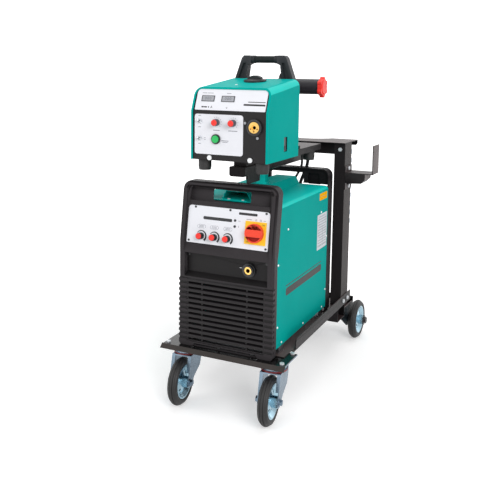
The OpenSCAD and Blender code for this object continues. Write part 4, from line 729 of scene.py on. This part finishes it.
plates("display_glass", GLASS,
       [(rounded(38.5, 15, 1), SLOPE.face(x, DISPLAY_S, 2.52), 0.12) for x in DISPLAY_X])
for i, x in enumerate(DISPLAY_X):
    label(f"display_digits_{i}", "000", SLOPE.face(x, DISPLAY_S, 2.7), 9, DIGIT, space=1.25)
marks("display_captions", on_display,
      [(-92, 57, 16, 1.6), (-72, 57, 20, 1.6), (-10, 57, 15, 1.6)], PRINT_GREY)
marks("unit_bars", on_display, [(-91, 12.5, 8, 4), (-81, 12.5, 10, 4), (-71, 12.5, 3, 5)], PRINT)
marks("display_stripes", on_display, [(79, 23, 70, 5.5), (85, 32, 56, 2.4)], PRINT, 0.1)
label("unit_a", "A", SLOPE.face(-61, 12.5, UNIT_OUT), 7.5)
label("unit_v", "V", SLOPE.face(-10, 11, UNIT_OUT), 6.5)
marks("feeder_captions", on_front, [(-41, 678.5, 22, 2.2), (14, 678.5, 30, 2.2), (-12, 648, 24, 2),
                                    (-12, 644, 18, 1.6), (-98, 721, 9, 1.6), (-98, 686.5, 9, 1.6),
                                    (-98, 636, 9, 1.6), (-80, 654, 5, 1.4), (-80, 649, 5, 1.4)],
      PRINT_GREY)
TICK = [(13.5, -0.5), (17, -0.5), (17, 0.5), (13.5, 0.5)]  # outline, from the knob's axis
plates("feeder_ticks", PRINT_GREY,
       [(TICK, on_front(x, 702) @ Matrix.Rotation(math.radians(225 - 27 * k), 4, "Z"), 0.08)
        for x in (-40, 15) for k in range(11)])
# painted highlight: a light arc on the lit side of the torch socket's ring
bm = bmesh.new()
arc_band(bm, 22, 23.7, 60, 230, front_face(TORCH[0], 10.95, TORCH[1]), 0.1, steps=30)
add("torch_ring_painted_highlight", finish_mesh(bm, "torch_ring_painted_highlight"), PAINTED_RING_HIGHLIGHT)
plates("grip_slot_back", GLOSS, [(rounded(25, 42, 2), side_face(123.5, 155, 633.5), 1.0)])
plates("grip_slot_latch", GREY, [(rounded(14, 12, 2), side_face(124.5, 155, 622), 1.2, 0.5)])


# ---------------------------------------------------------------- room
def seen_directly(nodes, links):
    """1 for camera, glossy and transmission rays, so they see the white background."""
    path = nodes.new("ShaderNodeLightPath")
    total = path.outputs["Is Camera Ray"]
    for kind in ("Is Glossy Ray", "Is Transmission Ray"):
        plus = nodes.new("ShaderNodeMath")
        plus.operation = "ADD"
        plus.use_clamp = True
        links.new(total, plus.inputs[0])
        links.new(path.outputs[kind], plus.inputs[1])
        total = plus.outputs["Value"]
    return total


FLOOR_FRONT, FLOOR_BACK, WALL_TOP, HALF_WIDTH = -6.0, 3.2, 7.0, 7
SWEEP_RADIUS, SWEEP_STEPS = 1.2, 12  # the floor curves up into the wall
FLOOR_GREY = 0.82
GLOW_FROM, GLOW_TO = 0.5, 1.7  # the floor fades to white between these distances
GLOW_NEAR = 0.4  # share of the white that lies under the part already
AMBIENT = 0.42


def ground():
    """Pale floor and wall in one sweep: it keeps the shadow and turns white further out."""
    bm = bmesh.new()
    prof = [(FLOOR_FRONT, 0.0), (FLOOR_BACK, 0.0)]
    for k in range(1, SWEEP_STEPS + 1):
        a = math.radians(90 * k / SWEEP_STEPS)
        prof.append((FLOOR_BACK + SWEEP_RADIUS * math.sin(a), SWEEP_RADIUS * (1 - math.cos(a))))
    prof.append((FLOOR_BACK + SWEEP_RADIUS, WALL_TOP))
    rows = [[bm.verts.new((x, y, z)) for y, z in prof] for x in (-HALF_WIDTH, HALF_WIDTH)]
    for i in range(len(prof) - 1):
        bm.faces.new((rows[0][i], rows[1][i], rows[1][i + 1], rows[0][i + 1]))
    mesh = finish_mesh(bm, "floor")
    mesh.shade_smooth()
    obj = bpy.data.objects.new("floor", mesh)
    bpy.context.scene.collection.objects.link(obj)
    m = bpy.data.materials.new("floor")
    m.use_nodes = True
    nodes, links = m.node_tree.nodes, m.node_tree.links
    out = nodes["Material Output"]
    shader = nodes["Principled BSDF"]
    shader.inputs["Base Color"].default_value = (FLOOR_GREY, FLOOR_GREY, FLOOR_GREY, 1)
    shader.inputs["Roughness"].default_value = 1.0
    shader.inputs["Specular IOR Level"].default_value = 0.0
    seen = seen_directly(nodes, links)
    coord = nodes.new("ShaderNodeTexCoord")
    away = nodes.new("ShaderNodeVectorMath")
    away.operation = "LENGTH"
    links.new(coord.outputs["Object"], away.inputs[0])
    spread = nodes.new("ShaderNodeMapRange")
    spread.interpolation_type = "SMOOTHSTEP"
    spread.inputs["From Min"].default_value = GLOW_FROM
    spread.inputs["From Max"].default_value = GLOW_TO
    spread.inputs["To Min"].default_value = GLOW_NEAR
    spread.inputs["To Max"].default_value = 1.0
    links.new(away.outputs["Value"], spread.inputs["Value"])
    level = nodes.new("ShaderNodeMath")
    level.operation = "MULTIPLY"
    links.new(seen, level.inputs[0])
    links.new(spread.outputs["Result"], level.inputs[1])
    glow = nodes.new("ShaderNodeEmission")
    links.new(level.outputs["Value"], glow.inputs["Strength"])
    both = nodes.new("ShaderNodeAddShader")
    links.new(shader.outputs["BSDF"], both.inputs[0])
    links.new(glow.outputs["Emission"], both.inputs[1])
    links.new(both.outputs["Shader"], out.inputs["Surface"])
    mesh.materials.append(m)


ground()


def lamp(name, size, energy, where, target):
    """Soft rectangular light of a size in m and an energy in W, aimed at a point."""
    data = bpy.data.lights.new(name, "AREA")
    data.shape = "RECTANGLE"
    data.size, data.size_y = size
    data.energy = energy
    obj = bpy.data.objects.new(name, data)
    obj.location = where
    obj.rotation_euler = (Vector(target) - Vector(where)).to_track_quat("-Z", "Y").to_euler()
    bpy.context.scene.collection.objects.link(obj)


lamp("key", (1.8, 1.8), 86, (2.6, -2.7, 2.3), (0, 0, 0.6))
lamp("fill", (2.5, 2.0), 40, (-2.8, -2.4, 1.8), (0, 0, 0.6))
lamp("top", (2.4, 2.4), 34, (0.2, 0.3, 3.6), (0, 0, 0.4))

# the world lights evenly, and shows white where it's seen
world = bpy.data.worlds.new("world")
bpy.context.scene.world = world
world.use_nodes = True
nodes, links = world.node_tree.nodes, world.node_tree.links
ambient = nodes["Background"]
ambient.inputs["Color"].default_value = (1, 1, 1, 1)
ambient.inputs["Strength"].default_value = AMBIENT
backdrop = nodes.new("ShaderNodeBackground")
backdrop.inputs["Color"].default_value = (1, 1, 1, 1)
backdrop.inputs["Strength"].default_value = 1.0
blend = nodes.new("ShaderNodeMixShader")
links.new(seen_directly(nodes, links), blend.inputs["Fac"])
links.new(ambient.outputs["Background"], blend.inputs[1])
links.new(backdrop.outputs["Background"], blend.inputs[2])
links.new(blend.outputs["Shader"], nodes["World Output"].inputs["Surface"])
bpy.context.scene.view_settings.view_transform = "Standard"
